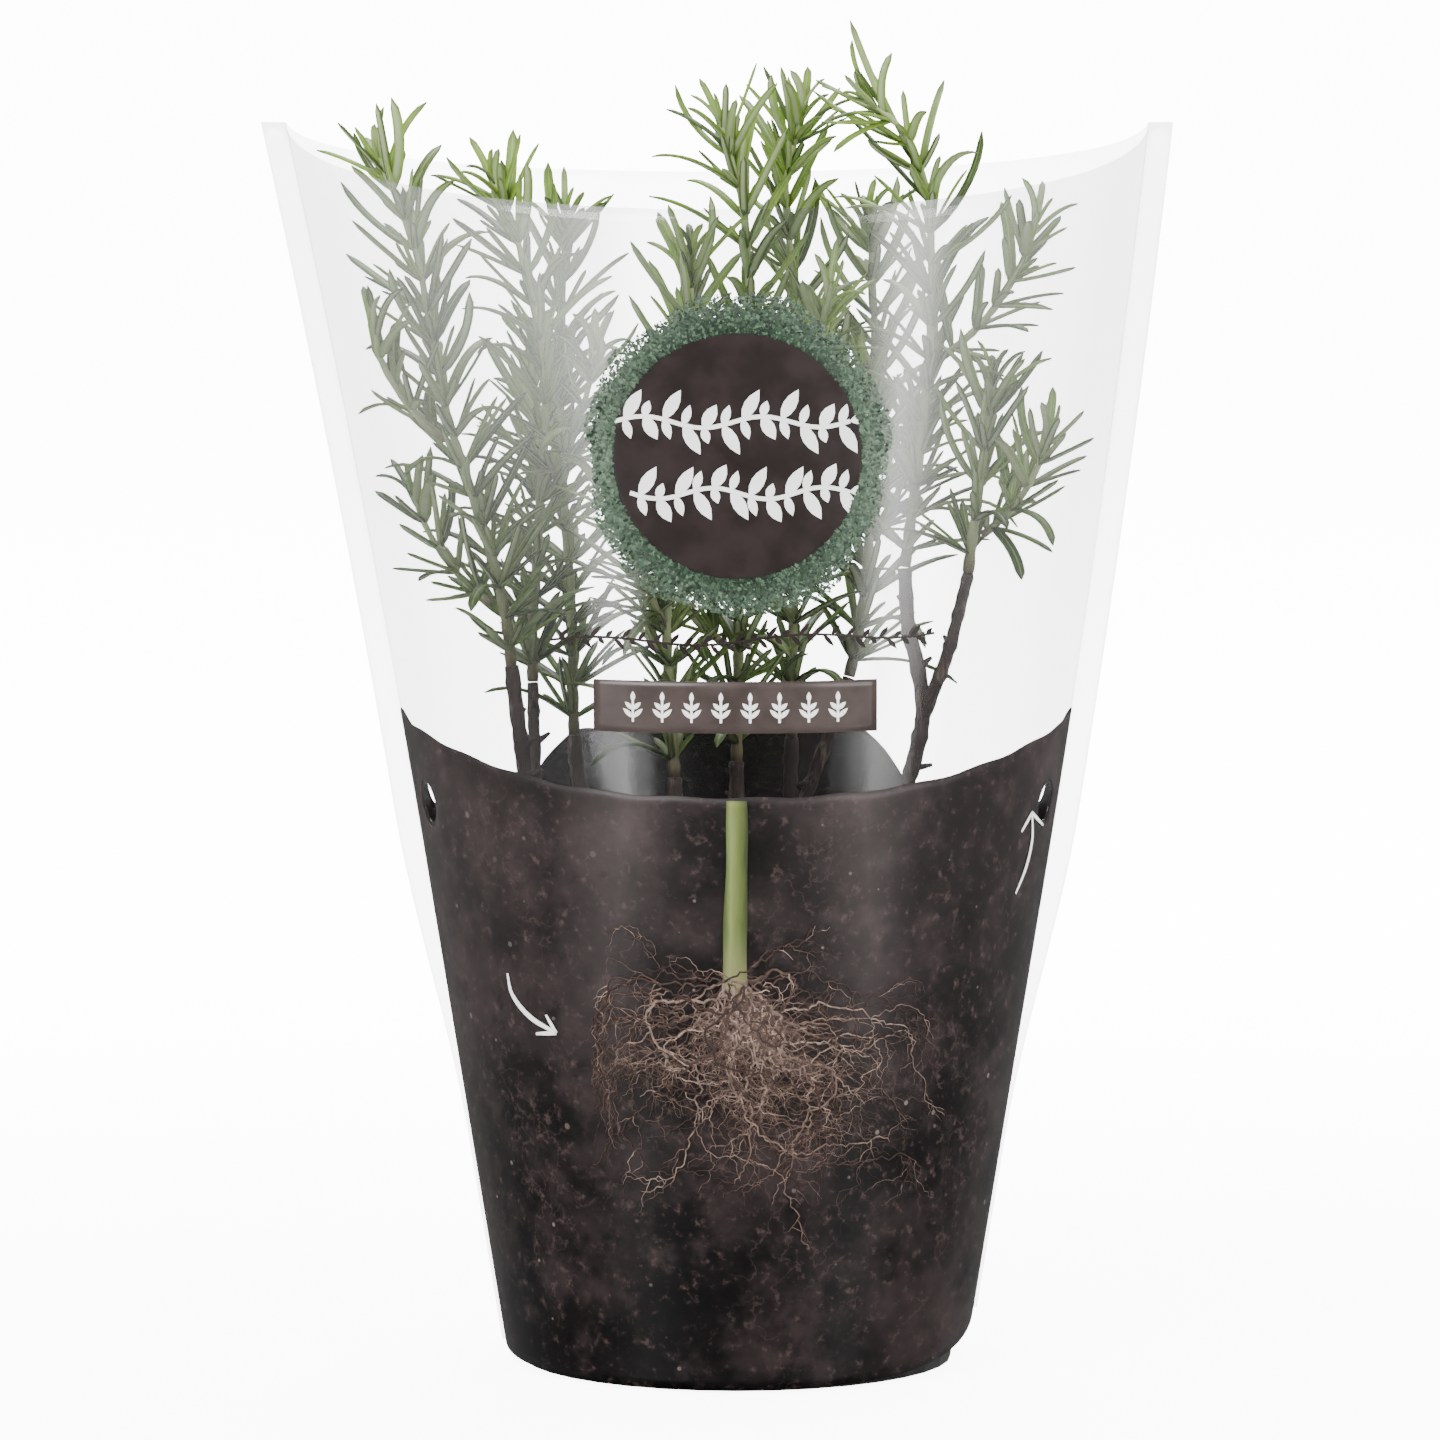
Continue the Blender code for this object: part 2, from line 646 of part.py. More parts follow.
def make_leaves(name, leaves, section, cutters):
    """A shoot's (midrib, neck width) leaves as one helper mesh of separate blades."""
    curve = bpy.data.curves.new(name, "CURVE")
    curve.dimensions = "3D"
    curve.twist_mode = "Z_UP"
    curve.bevel_mode = "OBJECT"
    curve.bevel_object = section
    curve.use_fill_caps = True
    for leaf, neck in leaves:
        spline = curve.splines.new("POLY")
        spline.points.add(len(leaf) - 1)
        for spot, point, radius in zip(spline.points, leaf, (neck / LEAF_WIDTH, 1.0, 0.15)):
            spot.co = (*point, 1.0)
            spot.radius = radius
    obj = bpy.data.objects.new(name, curve)
    cutters.objects.link(obj)
    return curve_to_mesh(obj, cutters)


def make_wood(name, route, forks, collection, cutters, material):
    """A cutting's woody stem, rooted in the peat, with its forks. Returns the stem's foot."""
    foot = route_point(*route[0])
    root = foot - Vector((0.0, 0.0, ROOT_DEPTH))
    collar = foot + Vector((0.0, 0.0, PEAT_CROWN + GAP))
    points = [root, foot, *smooth_route([collar, *(route_point(*p) for p in route[1:])])]
    radii = tapered(points, WOOD_RADIUS, WOOD_TOP_RADIUS)
    stem = curve_to_mesh(make_tube(name, points, radii, 2, collection), collection)
    for i, fork in enumerate(forks):
        points = smooth_route([route_point(*p) for p in fork])
        radii = tapered(points, WOOD_TOP_RADIUS, SHOOT_RADIUS)
        branch = curve_to_mesh(make_tube(f"{name}_fork_{i}", points, radii, 2, cutters), cutters)
        join(stem, branch)
    shade(stem, material)
    return foot


def side_route(parent, share, compass, length):
    """A side shoot's route: out from its parent's bark and curving up."""
    origin, axis = along(parent, share * route_length(parent))
    outward = Vector((math.cos(math.radians(compass)), math.sin(math.radians(compass)), 0.0))
    start = origin + outward * (SHOOT_RADIUS + SIDE_RADIUS + GAP)
    points = [start]
    for i in range(1, SIDE_STEPS + 1):
        rise = Vector((0.0, 0.0, SIDE_RISE + SIDE_RISE_GAIN * i))
        step = (outward * (1.0 - SIDE_OUT_LOSS * i) + rise + axis * SIDE_ALONG).normalized()
        points.append(drawn_in(points[-1] + step * length / SIDE_STEPS))
    return points


def make_shoot(name, points, start_radius, leaf_length, spacing, thicket, dice, section, collection, cutters,
               material):
    """A leafy shoot: its green axis and the leaves that grow from it, as the one piece that it grew as."""
    tip_radius = min(start_radius * 0.7, SHOOT_TIP_RADIUS)
    axis = make_tube(name, points, tapered(points, start_radius, tip_radius), 1, collection)
    shoot = curve_to_mesh(axis, collection)
    halves = leaves_along(name, points, (start_radius, tip_radius), leaf_length, spacing, thicket, dice)
    for i, leaves in enumerate(halves):
        join(shoot, make_leaves(f"{name}_leaves_{i}", leaves, section, cutters))
    shade(shoot, material)


def main():
    """Builds the pot, peat, plant and sleeve."""
    clear_scene()
    collection = make_collection("potted_rosemary")
    cutters = make_collection("cutters")
    plastic, peat, film, bark, green = (
        make_material(*look) for look in (BLACK_PLASTIC, PEAT, CLEAR_FILM, BARK, NEEDLE_GREEN)
    )
    thicket = Thicket()
    dice = random.Random(PLANT_SEED)

    make_pot(collection, cutters, plastic)
    sockets = []
    for name, route, forks in WOOD:
        foot = make_wood(name, route, forks, collection, cutters, bark)
        sockets.append((foot.x, foot.y))
        for stretch in (route, *forks):
            thicket.add(name, smooth_route([route_point(*p) for p in stretch]))
    make_peat(collection, cutters, peat, sockets)

    axes = {}
    for name, route in SHOOTS:
        axes[name] = trimmed(smooth_route([route_point(*p) for p in route]), GAP)
    for name, parent, share, compass, length in SIDE_SHOOTS:
        axes[name] = side_route(axes[parent], share, compass, length)
    for name, points in axes.items():
        thicket.add(name, points)
    section = leaf_section(cutters)
    for name, points in axes.items():
        small = name.startswith("side")
        radius = SIDE_RADIUS if small else SHOOT_RADIUS
        length = SIDE_LEAF_LENGTH if small else LEAF_LENGTH
        spacing = SIDE_LEAF_SPACING if small else LEAF_SPACING
        make_shoot(name, points, radius, length, spacing, thicket, dice, section, collection, cutters, green)

    make_panel("sleeve_front", -1, collection, cutters, film)
    make_panel("sleeve_back", 1, collection, cutters, film)


main()
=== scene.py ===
"""A young potted rosemary in a printed film sleeve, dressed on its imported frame.

Metres, +Z up, the front faces -Y. The plant's growth rules repeat those of its solids, so each
detailed leaf, stem and film panel lies where its solid lies.
"""

import logging
import math
import random
from dataclasses import dataclass, field
from enum import Enum
from typing import Callable, Iterable, Sequence

import bmesh
import bpy
from mathutils import Matrix, Vector
from mathutils.kdtree import KDTree


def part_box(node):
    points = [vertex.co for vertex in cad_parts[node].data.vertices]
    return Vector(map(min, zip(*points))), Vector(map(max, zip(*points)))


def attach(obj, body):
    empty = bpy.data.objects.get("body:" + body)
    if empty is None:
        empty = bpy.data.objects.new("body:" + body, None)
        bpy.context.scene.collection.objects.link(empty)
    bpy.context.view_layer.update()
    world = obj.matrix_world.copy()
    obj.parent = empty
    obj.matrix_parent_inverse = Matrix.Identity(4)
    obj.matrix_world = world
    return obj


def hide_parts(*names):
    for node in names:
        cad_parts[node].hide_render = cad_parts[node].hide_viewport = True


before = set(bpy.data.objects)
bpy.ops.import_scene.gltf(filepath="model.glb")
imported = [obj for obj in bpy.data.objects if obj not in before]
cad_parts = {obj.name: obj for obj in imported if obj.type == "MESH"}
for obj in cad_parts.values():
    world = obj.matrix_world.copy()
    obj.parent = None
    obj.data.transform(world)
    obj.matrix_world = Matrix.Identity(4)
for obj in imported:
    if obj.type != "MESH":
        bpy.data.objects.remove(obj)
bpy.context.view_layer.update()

LOG = logging.getLogger("rosemary")
ROOT_BODY = "root"
TURN = 2 * math.pi

Socket = bpy.types.NodeSocket
Material = bpy.types.Material
Piece = bpy.types.Object
Route = list[Vector]
Shares = tuple[float, float, float]
Pair = tuple[float, float]
Stops = tuple[tuple[float, float | Shares], ...]
UNMARKED: Shares = (0.0, 0.0, 0.0)
WHITE: Shares = (1.0, 1.0, 1.0)


class Facing(Enum):
    """Which panel of the sleeve, as the sign of its depth."""

    FRONT = -1
    BACK = 1


class LeafPart(Enum):
    """Which kind of shoot the leaves grow on."""

    LEADER = "leader"
    SIDE = "side"


# ---------------------------------------------------------------- shader sketching


class Sketch:
    """A thin layer over a node tree, to write node chains in order."""

    def __init__(self, name: str, world: bool = False) -> None:
        """Makes an empty node material, or an empty node world.

        Args:
            name: its name.
            world: whether it is a world.
        """
        self.owner = (bpy.data.worlds if world else bpy.data.materials).new(name)
        self.owner.use_nodes = True
        self.tree = self.owner.node_tree
        self.tree.nodes.clear()
        self.output = self.tree.nodes.new("ShaderNodeOutputWorld" if world else "ShaderNodeOutputMaterial")

    def feed(self, socket: Socket, value: object) -> None:
        """Links a socket to another one, or sets its value, with a colour's opacity filled in."""
        if isinstance(value, Socket):
            self.tree.links.new(value, socket)
        elif socket.type == "RGBA":
            socket.default_value = (*value, 1.0)
        else:
            socket.default_value = value

    def node(self, kind: str, inputs: dict | None = None, **settings: object) -> bpy.types.Node:
        """Adds a node.

        Args:
            kind: the node's type without its ShaderNode prefix.
            inputs: socket name or number to a value or to another node's socket.
            settings: the node's own properties.

        Returns:
            The node.
        """
        made = self.tree.nodes.new("ShaderNode" + kind)
        for key, value in settings.items():
            setattr(made, key, value)
        for key, value in (inputs or {}).items():
            self.feed(made.inputs[key], value)
        return made

    def math(self, operation: str, *values: object, clamp: bool = False) -> Socket:
        """A Math node's result."""
        return self.node("Math", dict(enumerate(values)), operation=operation, use_clamp=clamp).outputs[0]

    def scaled(self, value: object, by: object, plus: object) -> Socket:
        """A value times one number, plus another."""
        return self.math("MULTIPLY_ADD", value, by, plus)

    def mix(self, share: object, first: object, second: object) -> Socket:
        """Two colours mixed by a share."""
        made = self.node("Mix", data_type="RGBA")
        for key, value in ((0, share), (6, first), (7, second)):
            self.feed(made.inputs[key], value)
        return made.outputs[2]

    def blend(self, share: object, first: Socket, second: Socket) -> Socket:
        """Two shaders mixed by a share."""
        return self.node("MixShader", {0: share, 1: first, 2: second}).outputs[0]

    def ramp(self, value: object, stops: Stops) -> Socket:
        """A colour ramp's colour. A stop is a place and a colour, or a place and a grey."""
        made = self.node("ValToRGB", {0: value})
        band = made.color_ramp
        while len(band.elements) < len(stops):
            band.elements.new(0.5)
        for element, (spot, tone) in zip(band.elements, stops):
            element.position = spot
            element.color = (tone, tone, tone, 1.0) if isinstance(tone, float) else (*tone, 1.0)
        return made.outputs[0]

    def step(self, value: object, low: float, high: float) -> Socket:
        """0 at low and 1 at high, eased between."""
        ends = {"Value": value, "From Min": low, "From Max": high}
        return self.node("MapRange", ends, interpolation_type="SMOOTHSTEP").outputs[0]

    def patch(self, value: object, low: float, high: float, most: float) -> Socket:
        """0 at low and most at high, eased between."""
        return self.math("MULTIPLY", self.step(value, low, high), most)

    def where(self) -> Socket:
        """The object's own coordinates."""
        return self.node("TexCoord").outputs["Object"]

    def xyz(self) -> list[Socket]:
        """x, y and z in the object's own coordinates."""
        return list(self.node("SeparateXYZ", {0: self.where()}).outputs)

    def noise(self, scale: float, detail: float = 3.0, stretch: Shares | None = None,
              rough: float = 0.5) -> Socket:
        """Noise over the object's own coordinates, in cells per metre."""
        place = self.where()
        if stretch:
            place = self.node("Mapping", {"Vector": place, "Scale": stretch}).outputs[0]
        texture = {"Vector": place, "Scale": scale, "Detail": detail, "Roughness": rough}
        return self.node("TexNoise", texture).outputs[0]

    def cells(self, scale: float) -> bpy.types.NodeOutputs:
        """A Voronoi pattern's outputs, in cells per metre."""
        return self.node("TexVoronoi", {"Vector": self.where(), "Scale": scale}).outputs

    def bump(self, height: object, strength: float, distance: float) -> Socket:
        """A bumped normal."""
        return self.node("Bump", {"Height": height, "Strength": strength, "Distance": distance}).outputs[0]

    def marks(self, layer: str) -> list[Socket]:
        """The three numbers that a piece's points carry in one layer."""
        colour = self.node("Attribute", attribute_name=layer).outputs["Color"]
        return list(self.node("SeparateColor", {0: colour}).outputs)

    def principled(self, **inputs: object) -> Socket:
        """A Principled shader, from socket names with their spaces as underscores."""
        return self.node("BsdfPrincipled", {key.replace("_", " "): v for key, v in inputs.items()}).outputs[0]

    def surface(self, **inputs: object) -> Material:
        """Ends the material in one Principled shader."""
        return self.end(self.principled(**inputs))

    def end(self, shader: Socket) -> Material | bpy.types.World:
        """Ends the material or world in this shader."""
        self.tree.links.new(shader, self.output.inputs[0])
        return self.owner


# ---------------------------------------------------------------- finishes


@dataclass(frozen=True)
class LeafFinish:
    """Rosemary leaves: glossy green above with a sunk midrib, felted grey-green below."""

    name: str = "rosemary_leaf"
    old: Shares = (0.075, 0.130, 0.018)
    young: Shares = (0.265, 0.400, 0.060)
    dusty: Shares = (0.400, 0.480, 0.250)
    mottle: Shares = (0.170, 0.285, 0.060)
    dusk: Shares = (0.030, 0.055, 0.022)
    rib: Shares = (0.460, 0.560, 0.240)
    under: Shares = (0.430, 0.505, 0.285)
    lit_through: Shares = (0.320, 0.460, 0.060)
    translucence: float = 0.32

    def build(self) -> Material:
        """Returns the material. It reads each leaf's across, side, age and tint from the mesh."""
        s = Sketch(self.name)
        across, above, outward = s.marks("blade")
        age, tint, _ = s.marks("life")
        mottled = s.noise(420.0, 4.0)
        green = s.mix(age, self.old, self.young)
        green = s.mix(s.patch(tint, 0.75, 0.90, 0.60), green, self.dusty)
        green = s.mix(s.patch(mottled, 0.35, 0.75, 0.50), green, self.mottle)
        green = s.mix(s.patch(tint, 0.32, 0.18, 0.75), green, self.dusk)
        green = s.mix(s.patch(outward, 0.70, 1.00, 0.55), green, self.dusk)
        top = s.mix(s.patch(across, 0.20, 0.03, 0.60), green, self.rib)
        felt = s.mix(s.step(across, 0.55, 0.8), self.under, green)
        colour = s.mix(above, felt, top)
        rough = s.math("ADD", s.math("MULTIPLY", mottled, 0.2), s.scaled(above, -0.22, 0.52))
        grain = s.bump(s.noise(1500.0, 2.0), 0.25, 0.00015)
        body = s.principled(Base_Color=colour, Roughness=rough, Normal=grain, Specular_IOR_Level=0.45)
        glow = s.node("BsdfTranslucent", {"Color": s.mix(0.4, colour, self.lit_through)}).outputs[0]
        return s.end(s.blend(self.translucence, body, glow))


@dataclass(frozen=True)
class ShootFinish:
    """The green, square young stem, browner at its foot."""

    name: str = "green_shoot"
    dark: Shares = (0.190, 0.255, 0.095)
    pale: Shares = (0.380, 0.440, 0.215)
    foot: Shares = (0.140, 0.095, 0.060)

    def build(self) -> Material:
        """Returns the material. It reads how far up the shoot a point is from the mesh."""
        s = Sketch(self.name)
        age = s.marks("life")[0]
        streak = s.noise(260.0, 4.0, (1.0, 1.0, 0.15))
        colour = s.mix(s.step(age, 0.0, 0.45), self.foot, s.mix(streak, self.dark, self.pale))
        return s.surface(Base_Color=colour, Roughness=0.6, Normal=s.bump(streak, 0.4, 0.0003))


@dataclass(frozen=True)
class BarkFinish:
    """Thin bark: purple-brown, with pale flaking ridges along the stem."""

    name: str = "rosemary_bark"
    dark: Shares = (0.032, 0.020, 0.020)
    brown: Shares = (0.070, 0.046, 0.038)
    flake: Shares = (0.175, 0.135, 0.110)

    def build(self) -> Material:
        """Returns the material."""
        s = Sketch(self.name)
        ridges = s.noise(520.0, 6.0, (1.0, 1.0, 0.10), 0.65)
        bark = s.mix(s.noise(120.0), self.dark, self.brown)
        colour = s.mix(s.step(ridges, 0.52, 0.72), bark, self.flake)
        return s.surface(Base_Color=colour, Roughness=0.82, Normal=s.bump(ridges, 0.8, 0.0006))


@dataclass(frozen=True)
class PotPlastic:
    """Black recycled plastic with faint flow marks and peat dust."""

    name: str = "nursery_pot_plastic"
    black: Shares = (0.012, 0.012, 0.013)
    worn: Shares = (0.026, 0.026, 0.027)
    dust: Shares = (0.075, 0.055, 0.042)

    def build(self) -> Material:
        """Returns the material."""
        s = Sketch(self.name)
        flow = s.noise(30.0, 5.0, (1.0, 1.0, 3.0))
        dusty = s.patch(s.noise(260.0, 5.0), 0.52, 0.75, 0.35)
        colour = s.mix(dusty, s.mix(flow, self.black, self.worn), self.dust)
        grain = s.bump(s.noise(900.0), 0.15, 0.0002)
        return s.surface(Base_Color=colour, Roughness=s.scaled(flow, 0.22, 0.34), Normal=grain)


@dataclass(frozen=True)
class PeatFinish:
    """Moist peat: near black, with brown fibres and pale grit."""

    name: str = "moist_peat"
    wet: Shares = (0.008, 0.006, 0.005)
    brown: Shares = (0.060, 0.036, 0.022)
    fibre: Shares = (0.150, 0.090, 0.050)
    grit: Shares = (0.300, 0.260, 0.210)

    def build(self) -> Material:
        """Returns the material."""
        s = Sketch(self.name)
        crumb = s.noise(380.0, 6.0, rough=0.65)
        strands = s.noise(700.0, 3.0, (0.3, 1.0, 1.0))
        colour = s.mix(s.step(strands, 0.62, 0.74), s.mix(crumb, self.wet, self.brown), self.fibre)
        colour = s.mix(s.step(s.cells(240.0)["Distance"], 0.10, 0.06), colour, self.grit)
        return s.surface(Base_Color=colour, Roughness=0.9, Normal=s.bump(crumb, 1.0, 0.0012))


@dataclass(frozen=True)
class FilmFinish:
    """Clear glossy film with a faint tint, milky in soft upright bands across the front: partly its own haze,
    partly painted sheen, with two painted highlight streaks.
    """

    name: str = "clear_film"
    tint: Shares = (0.880, 0.880, 0.887)
    milk_face: Shares = (0.930, 0.945, 0.910)
    milk_through: Shares = (0.960, 0.970, 0.950)
    translucence: float = 0.62
    gloss_limit: float = 0.12
    gloss_roughness: float = 0.14
    plain_haze: float = 0.003
    cone_foot: float = 0.046
    cone_slope: float = 0.161
    # the film's own haze across the front, with painted sheen towards the sides and beside the streaks
    haze_and_painted_sheen: Stops = ((0.00, 0.050), (0.18, 0.075), (0.28, 0.090), (0.39, 0.022), (0.50, 0.005),
                   (0.64, 0.018), (0.76, 0.058), (1.00, 0.045))
    # painted highlight streaks: two narrow upright milky bands where lamps would reflect on the front
    streaks: Stops = ((0.285, 0.0), (0.330, 0.150), (0.375, 0.0), (0.655, 0.0), (0.705, 0.190), (0.755, 0.0))

    def milk_and_painted_sheen(self, s: Sketch, folds: Socket) -> Socket:
        """How milky the film is at each place: in bands across the front, fading downwards, partly its own
        haze and partly painted sheen and painted highlight streaks.
        """
        x, y, z = s.xyz()
        across = s.math("DIVIDE", x, s.scaled(z, self.cone_slope, self.cone_foot))
        place = s.scaled(across, 0.5, s.scaled(folds, 0.07, 0.465))
        # soft bands of the film's own haze with painted sheen, and narrow painted highlight streaks
        soft = s.math("MULTIPLY", s.ramp(place, self.haze_and_painted_sheen), s.scaled(s.step(z, 0.140, 0.215), 0.85, 0.18))
        painted_highlight_streaks = s.math("MULTIPLY", s.ramp(place, self.streaks), s.scaled(s.step(z, 0.112, 0.175), 0.75, 0.30))
        front = s.step(y, 0.004, -0.004)
        bands = s.mix(front, (self.plain_haze,) * 3, s.math("ADD", soft, painted_highlight_streaks))
        return s.math("MULTIPLY", bands, s.scaled(folds, 1.1, 0.42), clamp=True)

    def build(self) -> Material:
        """Returns the material."""
        s = Sketch(self.name)
        folds = s.noise(24.0, 3.0, (1.0, 1.0, 0.14))
        ripple = s.bump(folds, 0.3, 0.004)
        edge_on = s.node("Fresnel", {"IOR": 1.45, "Normal": ripple}).outputs[0]
        shine = s.math("MINIMUM", edge_on, self.gloss_limit)
        face = s.principled(Base_Color=self.milk_face, Roughness=0.6, Specular_IOR_Level=0.1)
        through = s.node("BsdfTranslucent", {"Color": self.milk_through}).outputs[0]
        mirror = {"Color": WHITE, "Roughness": self.gloss_roughness, "Normal": ripple}
        gloss = s.node("BsdfGlossy", mirror).outputs[0]
        clear = s.node("BsdfTransparent", {"Color": self.tint}).outputs[0]
        hazy = s.blend(self.milk_and_painted_sheen(s, folds), clear, s.blend(self.translucence, face, through))
        return s.end(s.blend(shine, hazy, gloss))


@dataclass(frozen=True)
class EarthPrint:
    """The printed soil: near-black hollows, purple-brown clods, crumbs, pale grit and fine rootlets, with
    painted sheen in two upright bands.
    """

    name: str = "printed_earth"
    shade: float = 0.62
    gloss: float = 0.18
    soil: Stops = ((0.34, (0.002, 0.001, 0.001)), (0.47, (0.006, 0.004, 0.004)),
                   (0.58, (0.022, 0.014, 0.014)), (0.74, (0.048, 0.031, 0.031)))
    clod: Shares = (0.044, 0.027, 0.027)
    hollow: Shares = (0.002, 0.002, 0.002)
    crumb: Shares = (0.110, 0.068, 0.062)
    painted_sheen_brown: Shares = (0.120, 0.092, 0.090)
    rootlet: Shares = (0.130, 0.080, 0.072)
    dark_grit: Shares = (0.060, 0.040, 0.036)
    pale_grit: Shares = (0.230, 0.185, 0.165)
    deep: Shares = (0.002, 0.0015, 0.0015)
    half_width: float = 0.066
    # where the painted sheen lies across the print, as upright bands
    bands: Stops = ((0.00, 0.30), (0.22, 0.16), (0.32, 0.50), (0.40, 0.12), (0.50, 0.04), (0.60, 0.16),
                    (0.69, 0.46), (0.78, 0.14), (1.00, 0.22))

    def painted_sheen_bands(self, s: Sketch, clods: Socket) -> Socket:
        """How much painted sheen lies on the print at each place: in upright bands, fading downwards."""
        x, _, z = s.xyz()
        across = s.math("DIVIDE", x, self.half_width)
        place = s.scaled(across, 0.5, s.scaled(s.noise(24.0, 2.0), 0.12, 0.44))
        bands = s.math("MULTIPLY", s.step(z, 0.030, 0.122), s.ramp(place, self.bands))
        return s.math("MULTIPLY", bands, s.scaled(clods, 0.8, 0.6))

    def build(self) -> Material:
        """Returns the material."""
        s = Sketch(self.name)
        clods = s.noise(120.0, 5.0, rough=0.65)
        colour = s.ramp(s.noise(34.0, 5.0, rough=0.62), self.soil)
        colour = s.mix(s.patch(clods, 0.50, 0.70, 0.65), colour, self.clod)
        colour = s.mix(s.patch(clods, 0.46, 0.30, 0.85), colour, self.hollow)
        colour = s.mix(s.patch(s.noise(460.0, 5.0, rough=0.7), 0.54, 0.72, 0.70), colour, self.crumb)
        # painted sheen: pale brown laid over the soil in the upright bands
        colour = s.mix(self.painted_sheen_bands(s, clods), colour, self.painted_sheen_brown)
        strand = s.math("ABSOLUTE", s.math("SUBTRACT", s.noise(150.0, 4.0), 0.5))
        rooted = s.patch(s.noise(40.0, 2.0, (1.0, 1.2, 0.8)), 0.53, 0.64, 0.30)
        colour = s.mix(s.math("MULTIPLY", s.step(strand, 0.012, 0.004), rooted), colour, self.rootlet)
        grains = s.cells(360.0)
        pick, tone, spread = s.node("SeparateColor", {0: grains["Color"]}).outputs
        gritty = s.math("LESS_THAN", grains["Distance"], s.scaled(spread, 0.20, 0.04))
        gritty = s.math("MULTIPLY", gritty, s.patch(pick, 0.88, 0.92, 0.75))
        colour = s.mix(gritty, colour, s.mix(tone, self.dark_grit, self.pale_grit))
        colour = s.mix(self.shade, self.deep, colour)
        sway = s.bump(s.noise(22.0, 2.0, (1.0, 1.0, 0.2)), 0.25, 0.003)
        return s.surface(Base_Color=colour, Roughness=0.5, Specular_IOR_Level=self.gloss,
                         Coat_Weight=self.gloss, Coat_Roughness=0.34, Normal=sway)


@dataclass(frozen=True)
class InkFinish:
    """A flat printed ink, with a little unevenness in its cover."""

    name: str
    thin: Shares
    full: Shares
    coat: float = 0.4
    scale: float = 160.0

    def build(self) -> Material:
        """Returns the material."""
        s = Sketch(self.name)
        cover = s.step(s.noise(self.scale, 4.0), 0.3, 0.7)
        return s.surface(Base_Color=s.mix(cover, self.thin, self.full), Roughness=s.scaled(cover, 0.1, 0.42),
                         Specular_IOR_Level=0.3, Coat_Weight=self.coat, Coat_Roughness=0.2)


@dataclass(frozen=True)
class LeafletInk:
    """Greens of the small printed leaves, one tint to each leaf, paler towards the ring's rim as faded print
    and at its left and right sides as painted sheen.
    """

    name: str = "leaflet_ink"
    pale_fade_and_sheen: Shares = (0.150, 0.205, 0.150)
    greens: Stops = ((0.0, (0.003, 0.008, 0.004)), (0.40, (0.009, 0.024, 0.011)),
                     (0.75, (0.022, 0.050, 0.025)), (1.0, (0.070, 0.120, 0.070)))

    def build(self) -> Material:
        """Returns the material. It reads each leaf's tint, and its fading with painted sheen, from the mesh.
        """
        s = Sketch(self.name)
        fading, tint, _ = s.marks("life")
        # fading: paler towards the rim as faded print, and at the ring's sides as painted sheen
        colour = s.mix(fading, s.ramp(tint, self.greens), self.pale_fade_and_sheen)
        return s.surface(Base_Color=colour, Roughness=0.5, Specular_IOR_Level=0.3)


@dataclass(frozen=True)
class StemInk:
    """The printed green stem: lit along its left side and darker along its right."""

    middle: float
    half: float
    foot: float
    name: str = "stem_ink"
    foot_colour: Shares = (0.170, 0.160, 0.070)
    greens: Stops = ((0.05, (0.055, 0.076, 0.018)), (0.28, (0.150, 0.185, 0.055)),
                     (0.55, (0.092, 0.120, 0.025)), (0.95, (0.028, 0.040, 0.010)))

    def build(self) -> Material:
        """Returns the material."""
        s = Sketch(self.name)
        x, _, z = s.xyz()
        share = s.math("DIVIDE", s.math("SUBTRACT", x, self.middle - self.half), 2 * self.half)
        streaks = s.noise(700.0, 3.0, (1.0, 1.0, 0.06))
        green = s.ramp(s.math("ADD", share, s.scaled(streaks, 0.30, -0.15)), self.greens)
        colour = s.mix(s.patch(z, self.foot + 0.013, self.foot - 0.001, 0.55), green, self.foot_colour)
        return s.surface(Base_Color=colour, Roughness=0.5, Specular_IOR_Level=0.3)


@dataclass(frozen=True)
class RootInk:
    """Reddish-brown to pale pinkish roots, one tone to each."""

    name: str = "root_ink"
    shadow: Shares = (0.020, 0.012, 0.010)
    browns: Stops = ((0.0, (0.032, 0.017, 0.013)), (0.40, (0.085, 0.050, 0.038)),
                     (0.75, (0.175, 0.115, 0.088)), (1.0, (0.340, 0.250, 0.200)))

    def build(self) -> Material:
        """Returns the material. It reads each root's tone from the mesh."""
        s = Sketch(self.name)
        brown = s.ramp(s.marks("life")[1], self.browns)
        lit = s.step(s.noise(650.0), 0.35, 0.7)
        colour = s.mix(lit, s.mix(0.55, brown, self.shadow), brown)
        return s.surface(Base_Color=colour, Roughness=0.55, Specular_IOR_Level=0.25)


# ---------------------------------------------------------------- mesh helpers


def new_piece(name: str, verts: Route, faces: Sequence[Sequence[int]], smooth: bool = True) -> Piece:
    """Makes an object from points and faces.

    Args:
        name: the piece's name.
        verts: its points.
        faces: its faces, as point numbers.
        smooth: whether it is smooth shaded.

    Returns:
        The object, in the scene.
    """
    mesh = bpy.data.meshes.new(name)
    mesh.from_pydata([tuple(v) for v in verts], [], [tuple(f) for f in faces])
    mesh.validate()
    if smooth:
        mesh.shade_smooth()
    piece = bpy.data.objects.new(name, mesh)
    bpy.context.scene.collection.objects.link(piece)
    return piece


def paint(piece: Piece, layer: str, values: Sequence[Sequence[float]]) -> None:
    """Writes one colour per point as a mesh attribute."""
    colours = piece.data.color_attributes.new(layer, "FLOAT_COLOR", "POINT")
    colours.data.foreach_set("color", [number for value in values for number in (*value, 1.0)])


def coat(piece: Piece, material: Material) -> None:
    """Gives a piece one finish all over."""
    piece.data.materials.clear()
    piece.data.materials.append(material)


